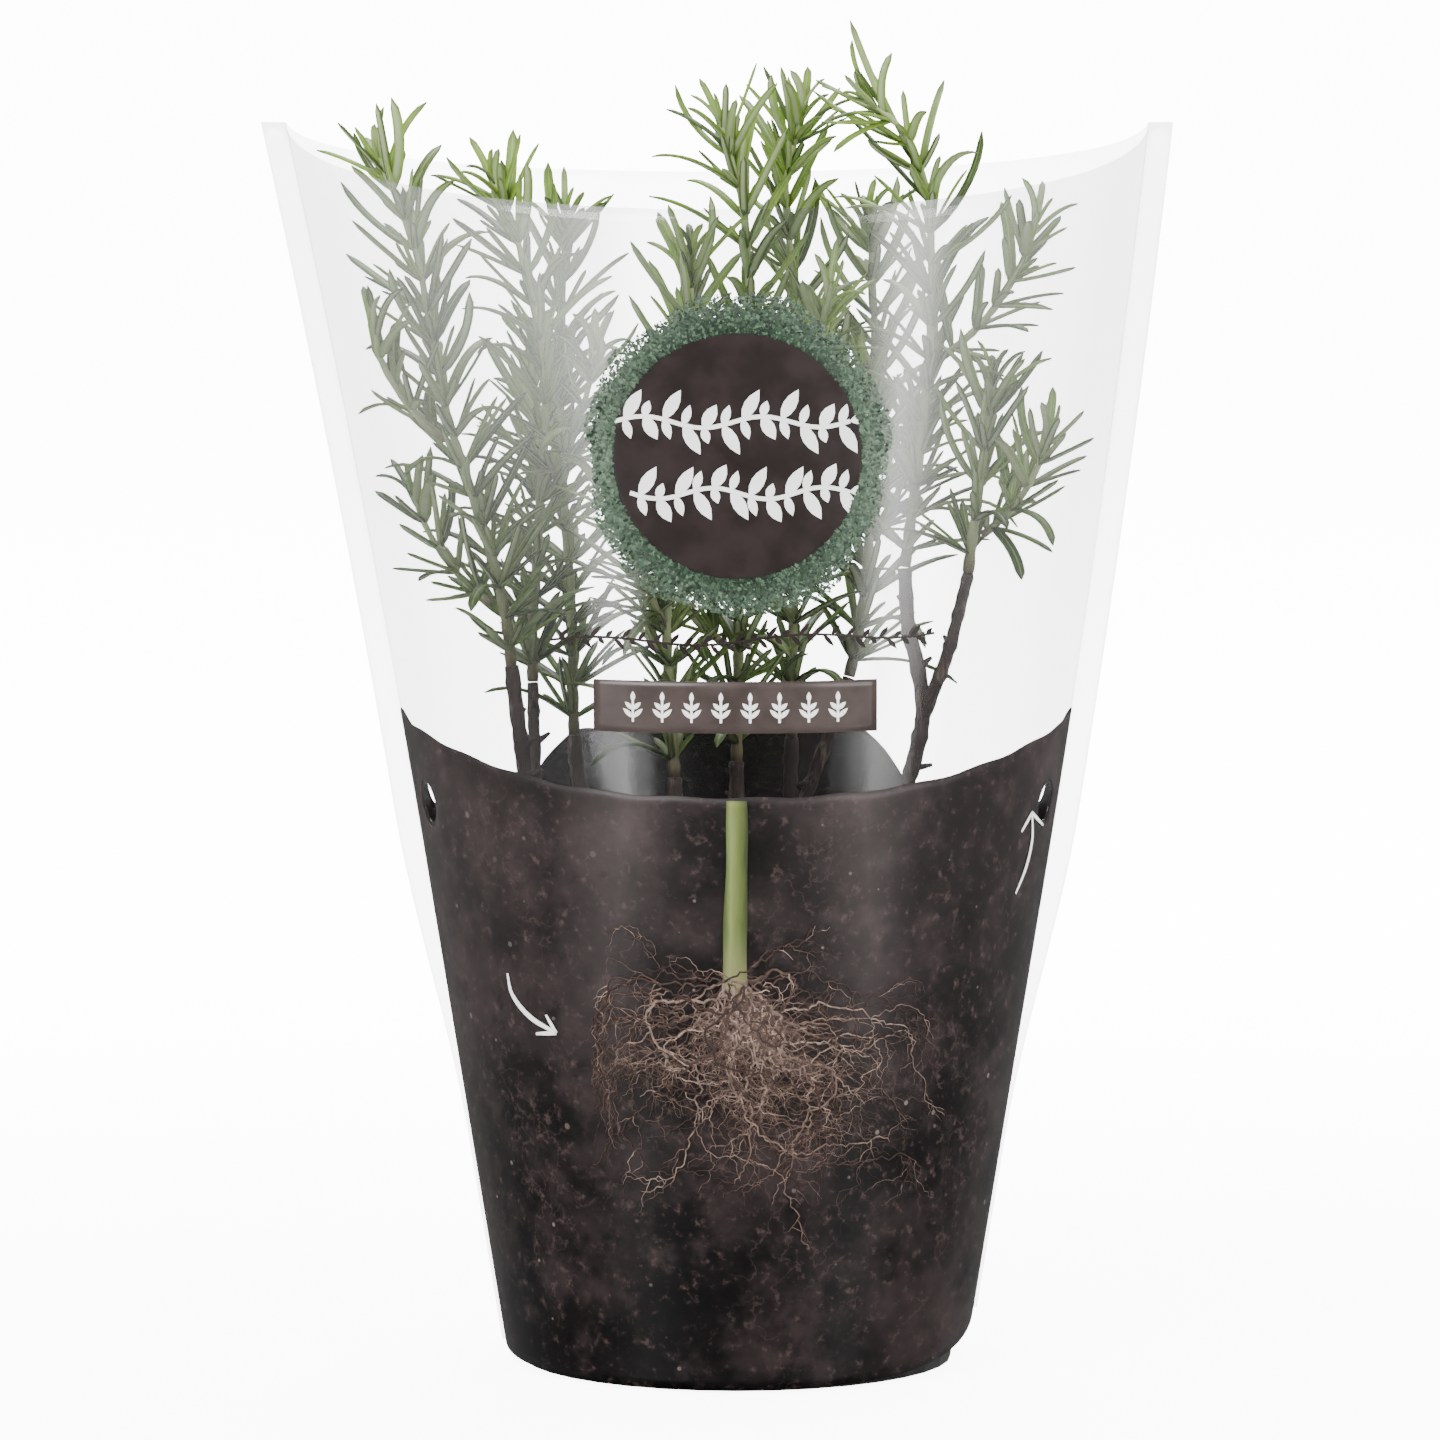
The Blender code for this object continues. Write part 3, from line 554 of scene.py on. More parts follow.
def hand_over(piece: Piece, material: Material, slot: str, *nodes: str) -> None:
    """Dresses a piece and ties it to the frame.

    Args:
        piece: the finished object.
        material: its finish.
        slot: a finish slot's name; not used.
        nodes: the solids that it stands for, if any.
    """
    coat(piece, material)
    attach(piece, ROOT_BODY)
    if nodes:
        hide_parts(*nodes)
    LOG.info("built %s: %d faces", piece.name, len(piece.data.polygons))


def apply(piece: Piece) -> None:
    """Turns a piece's modifiers into its mesh."""
    bpy.context.view_layer.update()
    graph = bpy.context.evaluated_depsgraph_get()
    shown = piece.evaluated_get(graph)
    mesh = bpy.data.meshes.new_from_object(shown, preserve_all_data_layers=True, depsgraph=graph)
    old = piece.data
    piece.modifiers.clear()
    piece.data = mesh
    mesh.name = piece.name
    bpy.data.meshes.remove(old)


def bands(rows: int, around: int) -> list[list[int]]:
    """Faces between rows of points that each close on themselves."""
    faces = []
    for row in range(rows - 1):
        start = row * around
        for j in range(around):
            k = (j + 1) % around
            faces.append([start + j, start + k, start + around + k, start + around + j])
    return faces


def tube_faces(rows: int, around: int) -> list[list[int]]:
    """Faces of a closed tube: its bands, then its two ends."""
    last = (rows - 1) * around
    return [*bands(rows, around), [*reversed(range(around))], [*range(last, last + around)]]


def swept(points: Route, radii: Sequence[float], sides: int) -> tuple[Route, list[list[int]]]:
    """A round closed tube along points.

    Args:
        points: its centre line.
        radii: its radius at each point.
        sides: its number of sides.

    Returns:
        The tube's points and faces.
    """
    verts = []
    guide = Vector((0.31, 0.93, 0.19)).normalized()  # any direction that no tube here starts along
    for i, (point, radius) in enumerate(zip(points, radii)):
        ahead = points[min(i + 1, len(points) - 1)] - points[max(i - 1, 0)]
        ahead.normalize()
        guide = (guide - ahead * guide.dot(ahead)).normalized()
        other = ahead.cross(guide)
        for j in range(sides):
            angle = TURN * j / sides
            verts.append(point + (guide * math.cos(angle) + other * math.sin(angle)) * radius)
    return verts, tube_faces(len(points), sides)


@dataclass
class Gathered:
    """Many small shapes gathered into one mesh."""

    verts: Route = field(default_factory=list)
    faces: list[list[int]] = field(default_factory=list)
    blade: list[Shares] = field(default_factory=list)
    life: list[Shares] = field(default_factory=list)

    def add(self, verts: Route, faces: Iterable[Sequence[int]], life: Shares = UNMARKED,
            blade: Sequence[Shares] = ()) -> None:
        """Adds one shape.

        Args:
            verts: its points.
            faces: its faces, as numbers of those points.
            life: age or fading, tint and a spare number for the whole shape.
            blade: across, above and along for each point.
        """
        start = len(self.verts)
        self.verts += verts
        self.faces += [[start + i for i in f] for f in faces]
        self.life += [life] * len(verts)
        self.blade += blade or [UNMARKED] * len(verts)

    def piece(self, name: str, smooth: bool = True) -> Piece:
        """Makes the object."""
        made = new_piece(name, self.verts, self.faces, smooth)
        paint(made, "life", self.life)
        paint(made, "blade", self.blade)
        return made


# ---------------------------------------------------------------- the sleeve's shape


@dataclass(frozen=True)
class SleeveShape:
    """The film sleeve's sizes, and where its surface lies."""

    pot_height: float
    corner_height: float
    foot_half_width: float = 0.0457
    rim_half_width: float = 0.0615
    top_dip: float = 0.0135
    left_foot_rise: float = 0.0025
    right_foot_rise: float = 0.009
    lift_off_ground: float = 0.0008
    flatten: float = 0.014
    lean: float = -0.004
    margin_top: float = 0.005
    margin_base: float = 0.001
    margin_from: float = 0.012
    margin_over: float = 0.065
    seam_gap: float = 0.0003
    vent_radius: float = 0.0036
    vent_from_seam: float = 0.0207
    vent_above_rim: float = 0.016
    sway: float = 0.00032
    seam_share: float = 0.999

    def above_rim(self, z: float) -> float:
        """Share of the way from the rim to the corners."""
        return min(1.0, max(0.0, (z - self.pot_height) / (self.corner_height - self.pot_height)))

    def half_width(self, z: float) -> float:
        """The film's inside half-width."""
        return self.foot_half_width + (self.rim_half_width - self.foot_half_width) * z / self.pot_height

    def half_depth(self, z: float) -> float:
        """The film's inside half-depth."""
        return self.half_width(z) - self.flatten * self.above_rim(z) ** 2

    def shift(self, z: float) -> float:
        """How far the cone leans to one side."""
        return self.lean * self.above_rim(z) ** 2

    def foot(self, side: float) -> float:
        """Height of a panel's lower edge, with side from -1 at the left seam to 1 at the right."""
        rise = self.left_foot_rise if side < 0 else self.right_foot_rise
        return self.lift_off_ground + rise * abs(side) ** 3

    def top(self, side: float) -> float:
        """Height of a panel's upper edge."""
        return self.corner_height - self.top_dip * (1.0 - side ** 2)

    def margin(self, z: float) -> float:
        """Width of the welded margin."""
        share = (z - (self.pot_height + self.margin_from - self.margin_over)) / self.margin_over
        share = min(1.0, max(0.0, share))
        return self.margin_base + (self.margin_top - self.margin_base) * share * share * (3.0 - 2.0 * share)

    def ripple(self, angle: float, z: float, facing: int) -> float:
        """A soft sway of the free film above the pot, in metres."""
        free = self.above_rim(z) ** 0.7
        wave = math.sin(5.3 * angle + 21.0 * z + facing)
        wave += 0.6 * math.sin(11.7 * angle - 34.0 * z + 2.0 * facing)
        return self.sway * free * math.cos(angle) * wave

    def point(self, angle: float, z: float, facing: int, lift: float = 0.0) -> Vector:
        """A point on the film.

        Args:
            angle: from -pi/2 at the left seam to pi/2 at the right one.
            z: height.
            facing: -1 for the front panel and 1 for the back.
            lift: how far outside the film's inner face.

        Returns:
            The point.
        """
        wide, deep = self.half_width(z), self.half_depth(z)
        normal = Vector((math.sin(angle) / wide, facing * math.cos(angle) / deep, 0.0)).normalized()
        out = deep * math.cos(angle) + self.seam_gap / 2
        spot = Vector((wide * math.sin(angle) + self.shift(z), facing * out, z))
        return spot + normal * (lift + self.ripple(angle, z, facing))

    def front_point(self, x: float, z: float, lift: float) -> Vector:
        """The point of the front panel that lies at x and z when seen straight on."""
        share = max(-self.seam_share, min(self.seam_share, (x - self.shift(z)) / self.half_width(z)))
        return self.point(math.asin(share), z, Facing.FRONT.value, lift)

    def vent(self, side: int, facing: int) -> tuple[Vector, Vector]:
        """Centre and outward direction of a vent hole."""
        z = self.pot_height + self.vent_above_rim
        wide, deep = self.half_width(z), self.half_depth(z)
        angle = math.pi / 2 - self.vent_from_seam / wide
        spot = Vector((side * wide * math.sin(angle) + self.shift(z), facing * deep * math.cos(angle), z))
        return spot, Vector((side * math.sin(angle), facing * math.cos(angle), 0.0))


# ---------------------------------------------------------------- growth, by the same rules as the solids


def smooth_route(points: Route, step: float) -> Route:
    """Points about a step apart on a Catmull-Rom curve through the given ones."""
    ends = [2 * points[0] - points[1], *points, 2 * points[-1] - points[-2]]
    found = []
    for before, start, end, after in zip(ends, ends[1:], ends[2:], ends[3:]):
        pieces = max(1, round((end - start).length / step))
        for i in range(pieces):
            t = i / pieces
            found.append(0.5 * (2 * start + (end - before) * t
                                + (2 * before - 5 * start + 4 * end - after) * t * t
                                + (3 * start - before - 3 * end + after) * t ** 3))
    return [*found, points[-1].copy()]


def route_length(points: Route) -> float:
    """Length along a route."""
    return sum((b - a).length for a, b in zip(points, points[1:]))


def along(points: Route, distance: float) -> tuple[Vector, Vector]:
    """The point at a distance along a route, and the direction there."""
    for a, b in zip(points, points[1:]):
        span = (b - a).length
        if distance <= span:
            break
        distance -= span
    direction = (b - a).normalized()
    return a + direction * min(distance, span), direction


def search_tree(spots: Route) -> KDTree:
    """A tree that finds the nearest of these points."""
    tree = KDTree(len(spots))
    for i, spot in enumerate(spots):
        tree.insert(spot, i)
    tree.balance()
    return tree


def crowded(spot: Vector, tree: KDTree, clearance: float) -> bool:
    """Whether the nearest point of a tree is closer than the clearance."""
    nearest = tree.find(spot)[2]
    return nearest is not None and nearest < clearance


@dataclass
class Leaf:
    """One leaf: its midrib's three points, and how far up its shoot it grows."""

    midrib: Route
    share: float


@dataclass
class Shoot:
    """A leafy shoot: its axis, thickness and leaves."""

    name: str
    axis: Route
    start_radius: float
    tip_radius: float
    part: LeafPart
    leaves: list[Leaf] = field(default_factory=list)


@dataclass
class Wood:
    """A cutting's woody stem and its forks, as routes with radii."""

    name: str
    stem: Route
    forks: list[Route]


@dataclass
class Growth:
    """Grows the plant in the sleeve: wood, shoots, side shoots and leaves."""

    sleeve: SleeveShape
    peat_below_rim: float = 0.010
    peat_crown: float = 0.003
    gap: float = 0.0003
    root_depth: float = 0.026
    shoot_radius: float = 0.0012
    tip_radius: float = 0.0006
    side_radius: float = 0.0008
    route_step: float = 0.009
    bud_length: float = 0.004
    leaf_length: float = 0.0245
    leaf_width: float = 0.0025
    leaf_spacing: float = 0.0062
    side_leaf_length: float = 0.0180
    side_leaf_spacing: float = 0.0052
    leaf_clearance: float = 0.0024
    own_clearance: float = 0.0018
    sample: float = 0.0012
    free_samples: int = 3
    seat: float = 0.5
    film_clearance: float = 0.0022
    pitch: tuple[float, float, float] = (math.radians(68.0), math.radians(40.0), math.radians(9.0))
    bend: tuple[float, float, float] = (math.radians(24.0), math.radians(-6.0), math.radians(26.0))
    bend_place: float = 0.55
    turn_spread: float = 0.25
    axis_ahead: float = 0.004
    side_steps: int = 4
    tip_share: float = 0.7
    tip_shortening: float = 0.20
    size_range: Pair = (0.76, 1.12)
    tries: tuple[Pair, ...] = ((0.0, 1.0), (0.6, 0.9), (-0.6, 0.9), (0.0, 0.6))
    seed: int = 7
    woods: list[Wood] = field(default_factory=list)
    shoots: list[Shoot] = field(default_factory=list)
    taken: list[tuple[str, Vector]] = field(default_factory=list)

    wood_plan = (
        ("woody_stem_1",
         ((-0.56, -0.13, 0.0), (-0.64, -0.16, 0.12), (-0.65, -0.21, 0.27), (-0.65, -0.22, 0.33)),
         (((-0.64, -0.16, 0.13), (-0.62, -0.06, 0.20), (-0.60, 0.0, 0.30)),)),
        ("woody_stem_2", ((-0.43, 0.30, 0.0), (-0.50, 0.32, 0.17), (-0.50, 0.31, 0.22)), ()),
        ("woody_stem_3", ((-0.17, -0.27, 0.0), (-0.19, -0.22, 0.14), (-0.19, -0.22, 0.19)), ()),
        ("woody_stem_4", ((0.03, 0.03, 0.0), (0.0, 0.0, 0.14), (0.0, 0.0, 0.20)), ()),
        ("woody_stem_5", ((0.20, 0.36, 0.0), (0.17, 0.28, 0.15), (0.17, 0.25, 0.22)),
         (((0.18, 0.30, 0.10), (0.27, 0.36, 0.20), (0.34, 0.39, 0.29)),)),
        ("woody_stem_6",
         ((0.46, 0.0, 0.0), (0.53, 0.0, 0.17), (0.56, 0.0, 0.27), (0.50, 0.05, 0.37), (0.48, 0.08, 0.44)),
         (((0.555, 0.0, 0.25), (0.62, -0.03, 0.34), (0.65, -0.05, 0.42), (0.655, -0.06, 0.44)),)),
    )
    shoot_plan = (
        ("leafy_shoot_1", (
            (-0.65, -0.22, 0.33), (-0.655, -0.26, 0.44), (-0.73, -0.3, 0.66), (-0.74, -0.29, 0.84),
            (-0.79, -0.24, 0.96),
        )),
        ("leafy_shoot_2", (
            (-0.6, 0.0, 0.3), (-0.585, 0.0, 0.36), (-0.52, -0.04, 0.53), (-0.465, -0.06, 0.7),
            (-0.5, -0.08, 0.86), (-0.535, -0.08, 0.93),
        )),
        ("leafy_shoot_3", (
            (-0.5, 0.31, 0.22), (-0.47, 0.29, 0.4), (-0.455, 0.28, 0.58), (-0.42, 0.28, 0.74),
            (-0.38, 0.26, 0.875),
        )),
        ("leafy_shoot_4", (
            (-0.19, -0.22, 0.19), (-0.19, -0.22, 0.41), (-0.12, -0.21, 0.6), (-0.075, -0.15, 0.84),
        )),
        ("leafy_shoot_5", (
            (0.0, 0.0, 0.2), (0.015, -0.03, 0.41), (0.04, -0.05, 0.6), (0.06, -0.07, 0.78),
            (0.05, -0.08, 0.9), (0.01, -0.11, 1.0),
        )),
        ("leafy_shoot_6", (
            (0.17, 0.25, 0.22), (0.17, 0.22, 0.4), (0.19, 0.21, 0.61), (0.175, 0.17, 0.79),
            (0.155, 0.14, 0.91), (0.2, 0.11, 1.01),
        )),
        ("leafy_shoot_7", (
            (0.34, 0.39, 0.29), (0.375, 0.41, 0.39), (0.39, 0.42, 0.61), (0.375, 0.41, 0.77),
            (0.36, 0.41, 0.87),
        )),
        ("leafy_shoot_8", (
            (0.48, 0.08, 0.44), (0.49, 0.09, 0.5), (0.51, 0.08, 0.63), (0.515, 0.06, 0.78),
            (0.49, 0.0, 0.92), (0.43, -0.06, 0.99), (0.34, -0.1, 1.03),
        )),
        ("leafy_shoot_9", (
            (0.655, -0.06, 0.44), (0.66, -0.08, 0.5), (0.67, -0.09, 0.58), (0.68, -0.08, 0.68),
        )),
    )
    side_plan = (
        ("side_shoot_1", "leafy_shoot_1", 0.12, 165.0, 0.028),
        ("side_shoot_2", "leafy_shoot_1", 0.45, 215.0, 0.030),
        ("side_shoot_3", "leafy_shoot_2", 0.40, 300.0, 0.034),
        ("side_shoot_4", "leafy_shoot_3", 0.42, 110.0, 0.036),
        ("side_shoot_5", "leafy_shoot_4", 0.30, 250.0, 0.034),
        ("side_shoot_6", "leafy_shoot_5", 0.18, 190.0, 0.030),
        ("side_shoot_7", "leafy_shoot_5", 0.52, 320.0, 0.034),
        ("side_shoot_8", "leafy_shoot_6", 0.42, 80.0, 0.036),
        ("side_shoot_9", "leafy_shoot_7", 0.30, 60.0, 0.032),
        ("side_shoot_10", "leafy_shoot_8", 0.22, 200.0, 0.028),
        ("side_shoot_11", "leafy_shoot_8", 0.42, 350.0, 0.034),
        ("side_shoot_12", "leafy_shoot_9", 0.20, 330.0, 0.026),
    )

    @property
    def peat_level(self) -> float:
        """Height of the peat at the pot's wall."""
        return self.sleeve.pot_height - self.peat_below_rim

    def place(self, shares: Shares) -> Vector:
        """A point given as shares of the sleeve's width, depth and height above the peat."""
        across, deep, up = shares
        z = self.peat_level + up * (self.sleeve.corner_height - self.peat_level)
        x = across * self.sleeve.half_width(z) + self.sleeve.shift(z)
        return Vector((x, deep * self.sleeve.half_depth(z), z))

    def samples(self, points: Route) -> Route:
        """Points at the sampling step along a route."""
        found = []
        for a, b in zip(points, points[1:]):
            pieces = max(1, round((b - a).length / self.sample))
            found += [a.lerp(b, i / pieces) for i in range(pieces)]
        return [*found, points[-1]]

    def take(self, owner: str, points: Route) -> None:
        """Remembers a route as taken by a node."""
        self.taken += [(owner, spot) for spot in self.samples(points)]

    def share_of_sleeve(self, point: Vector) -> float:
        """How far out a point is: 0 in the middle and 1 as close to the film as a leaf may come."""
        shape = self.sleeve
        across = (point.x - shape.shift(point.z)) / (shape.half_width(point.z) - self.film_clearance)
        deep = point.y / (shape.half_depth(point.z) - self.film_clearance)
        return math.hypot(across, deep)

    def inside(self, point: Vector) -> bool:
        """Whether a point clears the film."""
        return point.z > self.sleeve.corner_height or self.share_of_sleeve(point) < 1.0

    def drawn_in(self, point: Vector) -> Vector:
        """The point, or the nearest one towards the middle that clears the film."""
        share = max(1.0, self.share_of_sleeve(point))
        shift = self.sleeve.shift(point.z)
        return Vector((shift + (point.x - shift) / share, point.y / share, point.z))

    def fits(self, points: Route, others: KDTree, own: KDTree) -> bool:
        """Whether a leaf clears the film, the peat, other nodes and its own shoot's other leaves."""
        floor = self.peat_level + self.peat_crown + self.leaf_width
        for i, spot in enumerate(self.samples(points)[1:]):
            if not self.inside(spot) or spot.z < floor or crowded(spot, others, self.leaf_clearance):
                return False
            if i >= self.free_samples and crowded(spot, own, self.own_clearance):
                return False
        return True

    def midrib(self, root: Vector, axis: Vector, angle: float, pitch: float, bend: float, length: float,
               radius: float) -> Route:
        """A leaf's midrib, from inside the bark, out and then bent.

        Args:
            root: the point of the shoot's axis that it leaves.
            axis: the shoot's direction there.
            angle: which way round the shoot it points.
            pitch: how far it leans off the shoot.
            bend: how far its outer part turns down.
            length: its length.
            radius: the shoot's radius there.

        Returns:
            Its foot, middle and tip.
        """
        side = axis.orthogonal().normalized()
        side = Matrix.Rotation(angle, 3, axis) @ side
        hinge = axis.cross(side)
        first = Matrix.Rotation(pitch, 3, hinge) @ axis
        second = Matrix.Rotation(bend, 3, hinge) @ first
        begin = root + first * self.seat * radius / math.sin(pitch)
        middle = begin + first * length * self.bend_place
        return [begin, middle, middle + second * length * (1.0 - self.bend_place)]

    def grow_leaves(self, shoot: Shoot, length: float, spacing: float, dice: random.Random) -> None:
        """Leaves in crossed pairs up a shoot, drawn in the same order as the solids' leaves.

        Args:
            shoot: the shoot that they grow on.
            length: a full-grown leaf's length.
            spacing: distance from pair to pair.
            dice: the seeded source of chance.
        """
        total = route_length(shoot.axis)
        others = search_tree([spot for name, spot in self.taken if name != shoot.name])
        count = max(2, int((total - self.bud_length) / spacing))
        halves, own = ([], []), []
        for i in range(count):
            share = (i + 0.5) / count
            root, _ = along(shoot.axis, share * (total - self.bud_length))
            ahead, _ = along(shoot.axis, share * (total - self.bud_length) + self.axis_ahead)
            axis = (ahead - root).normalized()
            radius = shoot.start_radius + (shoot.tip_radius - shoot.start_radius) * share
            for half, found in enumerate(halves):
                size = length * (1.0 - self.tip_shortening * share ** 4) * dice.uniform(*self.size_range)
                pitch = self.pitch[0] + (self.pitch[1] - self.pitch[0]) * share
                pitch += dice.uniform(-self.pitch[2], self.pitch[2])
                bend = self.bend[0] + (self.bend[1] - self.bend[0]) * share
                bend += dice.uniform(-self.bend[2], self.bend[2])
                angle = i * math.pi / 2 + half * math.pi + dice.uniform(-self.turn_spread, self.turn_spread)
                for turn, shorten in self.tries:
                    points = self.midrib(root, axis, angle + turn, pitch, bend, size * shorten, radius)
                    if self.fits(points, others, search_tree(own)):
                        found.append(Leaf(points, share))
                        own += self.samples(points)[self.free_samples:]
                        break
        shoot.leaves = [*halves[0], *halves[1]]
        for leaf in shoot.leaves:
            self.take(shoot.name, leaf.midrib)

    def side_route(self, parent: Route, share: float, compass: float, length: float) -> Route:
        """A side shoot's route: out from its parent's bark and curving up."""
        origin, axis = along(parent, share * route_length(parent))
        outward = Vector((math.cos(math.radians(compass)), math.sin(math.radians(compass)), 0.0))
        points = [origin + outward * (self.shoot_radius + self.side_radius + self.gap)]
        for i in range(1, self.side_steps + 1):
            rise = 0.35 + 0.16 * i
            step = (outward * (1.0 - 0.14 * i) + Vector((0.0, 0.0, 1.0)) * rise + axis * 0.2).normalized()
            points.append(self.drawn_in(points[-1] + step * length / self.side_steps))
        return points

    def trimmed(self, points: Route) -> Route:
        """The route without the gap at its start."""
        first, _ = along(points, self.gap)
        walked, kept = 0.0, [first]
        for a, b in zip(points, points[1:]):
            walked += (b - a).length
            if walked > self.gap + self.route_step / 4:
                kept.append(b)
        return kept

    def grow(self) -> None:
        """Grows everything."""
        dice = random.Random(self.seed)
        for name, stem, forks in self.wood_plan:
            foot = self.place(stem[0])
            collar = foot + Vector((0.0, 0.0, self.peat_crown + self.gap))
            route = smooth_route([collar, *map(self.place, stem[1:])], self.route_step)
            branches = [smooth_route([*map(self.place, fork)], self.route_step) for fork in forks]
            root = foot - Vector((0.0, 0.0, self.root_depth))
            self.woods.append(Wood(name, [root, foot, *route], branches))
            for stretch in (stem, *forks):
                self.take(name, smooth_route([*map(self.place, stretch)], self.route_step))
        axes = {}
        for name, route in self.shoot_plan:
            axes[name] = self.trimmed(smooth_route([*map(self.place, route)], self.route_step))
        for name, parent, share, compass, length in self.side_plan:
            axes[name] = self.side_route(axes[parent], share, compass, length)
        for name, points in axes.items():
            self.take(name, points)
        for name, points in axes.items():
            small = name.startswith("side")
            radius = self.side_radius if small else self.shoot_radius
            tip = min(radius * self.tip_share, self.tip_radius)
            shoot = Shoot(name, points, radius, tip, LeafPart.SIDE if small else LeafPart.LEADER)
            length = self.side_leaf_length if small else self.leaf_length
            spacing = self.side_leaf_spacing if small else self.leaf_spacing
            self.grow_leaves(shoot, length, spacing, dice)
            self.shoots.append(shoot)


# ---------------------------------------------------------------- the plant


@dataclass
class LeafBlade:
    """A rosemary leaf's shape: narrow, with rolled margins, a sunk midrib and a short point."""

    rings: int = 9
    full_width: float = 0.0026
    thickness: float = 0.00050
    neck_width: float = 0.45
    neck_length: float = 0.14
    taper: float = 0.22
    point_length: float = 0.24
    least_lift: float = 0.35
    profile: tuple[Pair, ...] = ((0.0, 0.35), (0.45, 0.92), (0.88, 0.62), (1.0, 0.0), (0.86, -0.42),
                                 (0.40, -0.10))

    def outline(self, share: float) -> float:
        """Width at a share along the leaf, as a share of its full width."""
        neck = self.neck_width + (1.0 - self.neck_width) * min(1.0, share / self.neck_length) ** 0.8
        into_point = max(0.0, (share - (1.0 - self.point_length)) / self.point_length)
        tip = max(0.02, 1.0 - into_point ** 2.4)
        return neck * (1.0 - self.taper * share) * tip ** 0.6

    def add_to(self, heap: Gathered, midrib: Route, width: float, life: Shares, droop: float) -> None:
        """Adds one leaf to a mesh.

        Args:
            heap: the mesh that gathers it.
            midrib: three points: foot, middle and tip.
            width: the full width.
            life: age, tint and a spare number.
            droop: how far the tip curls, as a share of the length.
        """
        foot, middle, tip = midrib
        span = (tip - foot).length
        verts, blade = [], []
        run = (middle - foot).normalized()
        side = run.cross(Vector((0.0, 0.0, 1.0)))
        if side.length < 0.05:
            side = run.orthogonal()
        side.normalize()
        for i in range(self.rings):
            t = i / (self.rings - 1)
            control = middle * 2.0 - (foot + tip) * 0.5
            spot = foot * (1 - t) ** 2 + control * 2 * t * (1 - t) + tip * t * t
            ahead = ((control - foot) * (1 - t) + (tip - control) * t).normalized()
            side = (side - ahead * side.dot(ahead)).normalized()
            up = side.cross(ahead)
            spot = spot + up * (-droop * span * t * t * 0.5)
            half = 0.5 * width * self.outline(t)
            for sign in (1, -1):
                row = self.profile if sign > 0 else tuple(reversed(self.profile[1:-1]))
                for across, height in row:
                    thick = self.thickness * (self.least_lift + (1.0 - self.least_lift) * self.outline(t))
                    verts.append(spot + side * (sign * across * half) + up * height * thick)
                    blade.append((across, 1.0 if height >= 0.0 and across < 0.95 else 0.0, t))
        heap.add(verts, tube_faces(self.rings, len(verts) // self.rings), life, blade)


def bent_leaf(foot: Vector, first: Vector, second: Vector, length: float) -> Route:
    """A small leaf's midrib, which leaves along one direction and ends along another."""
    middle = foot + first * length * 0.55
    return [foot, middle, middle + second * length * 0.45]


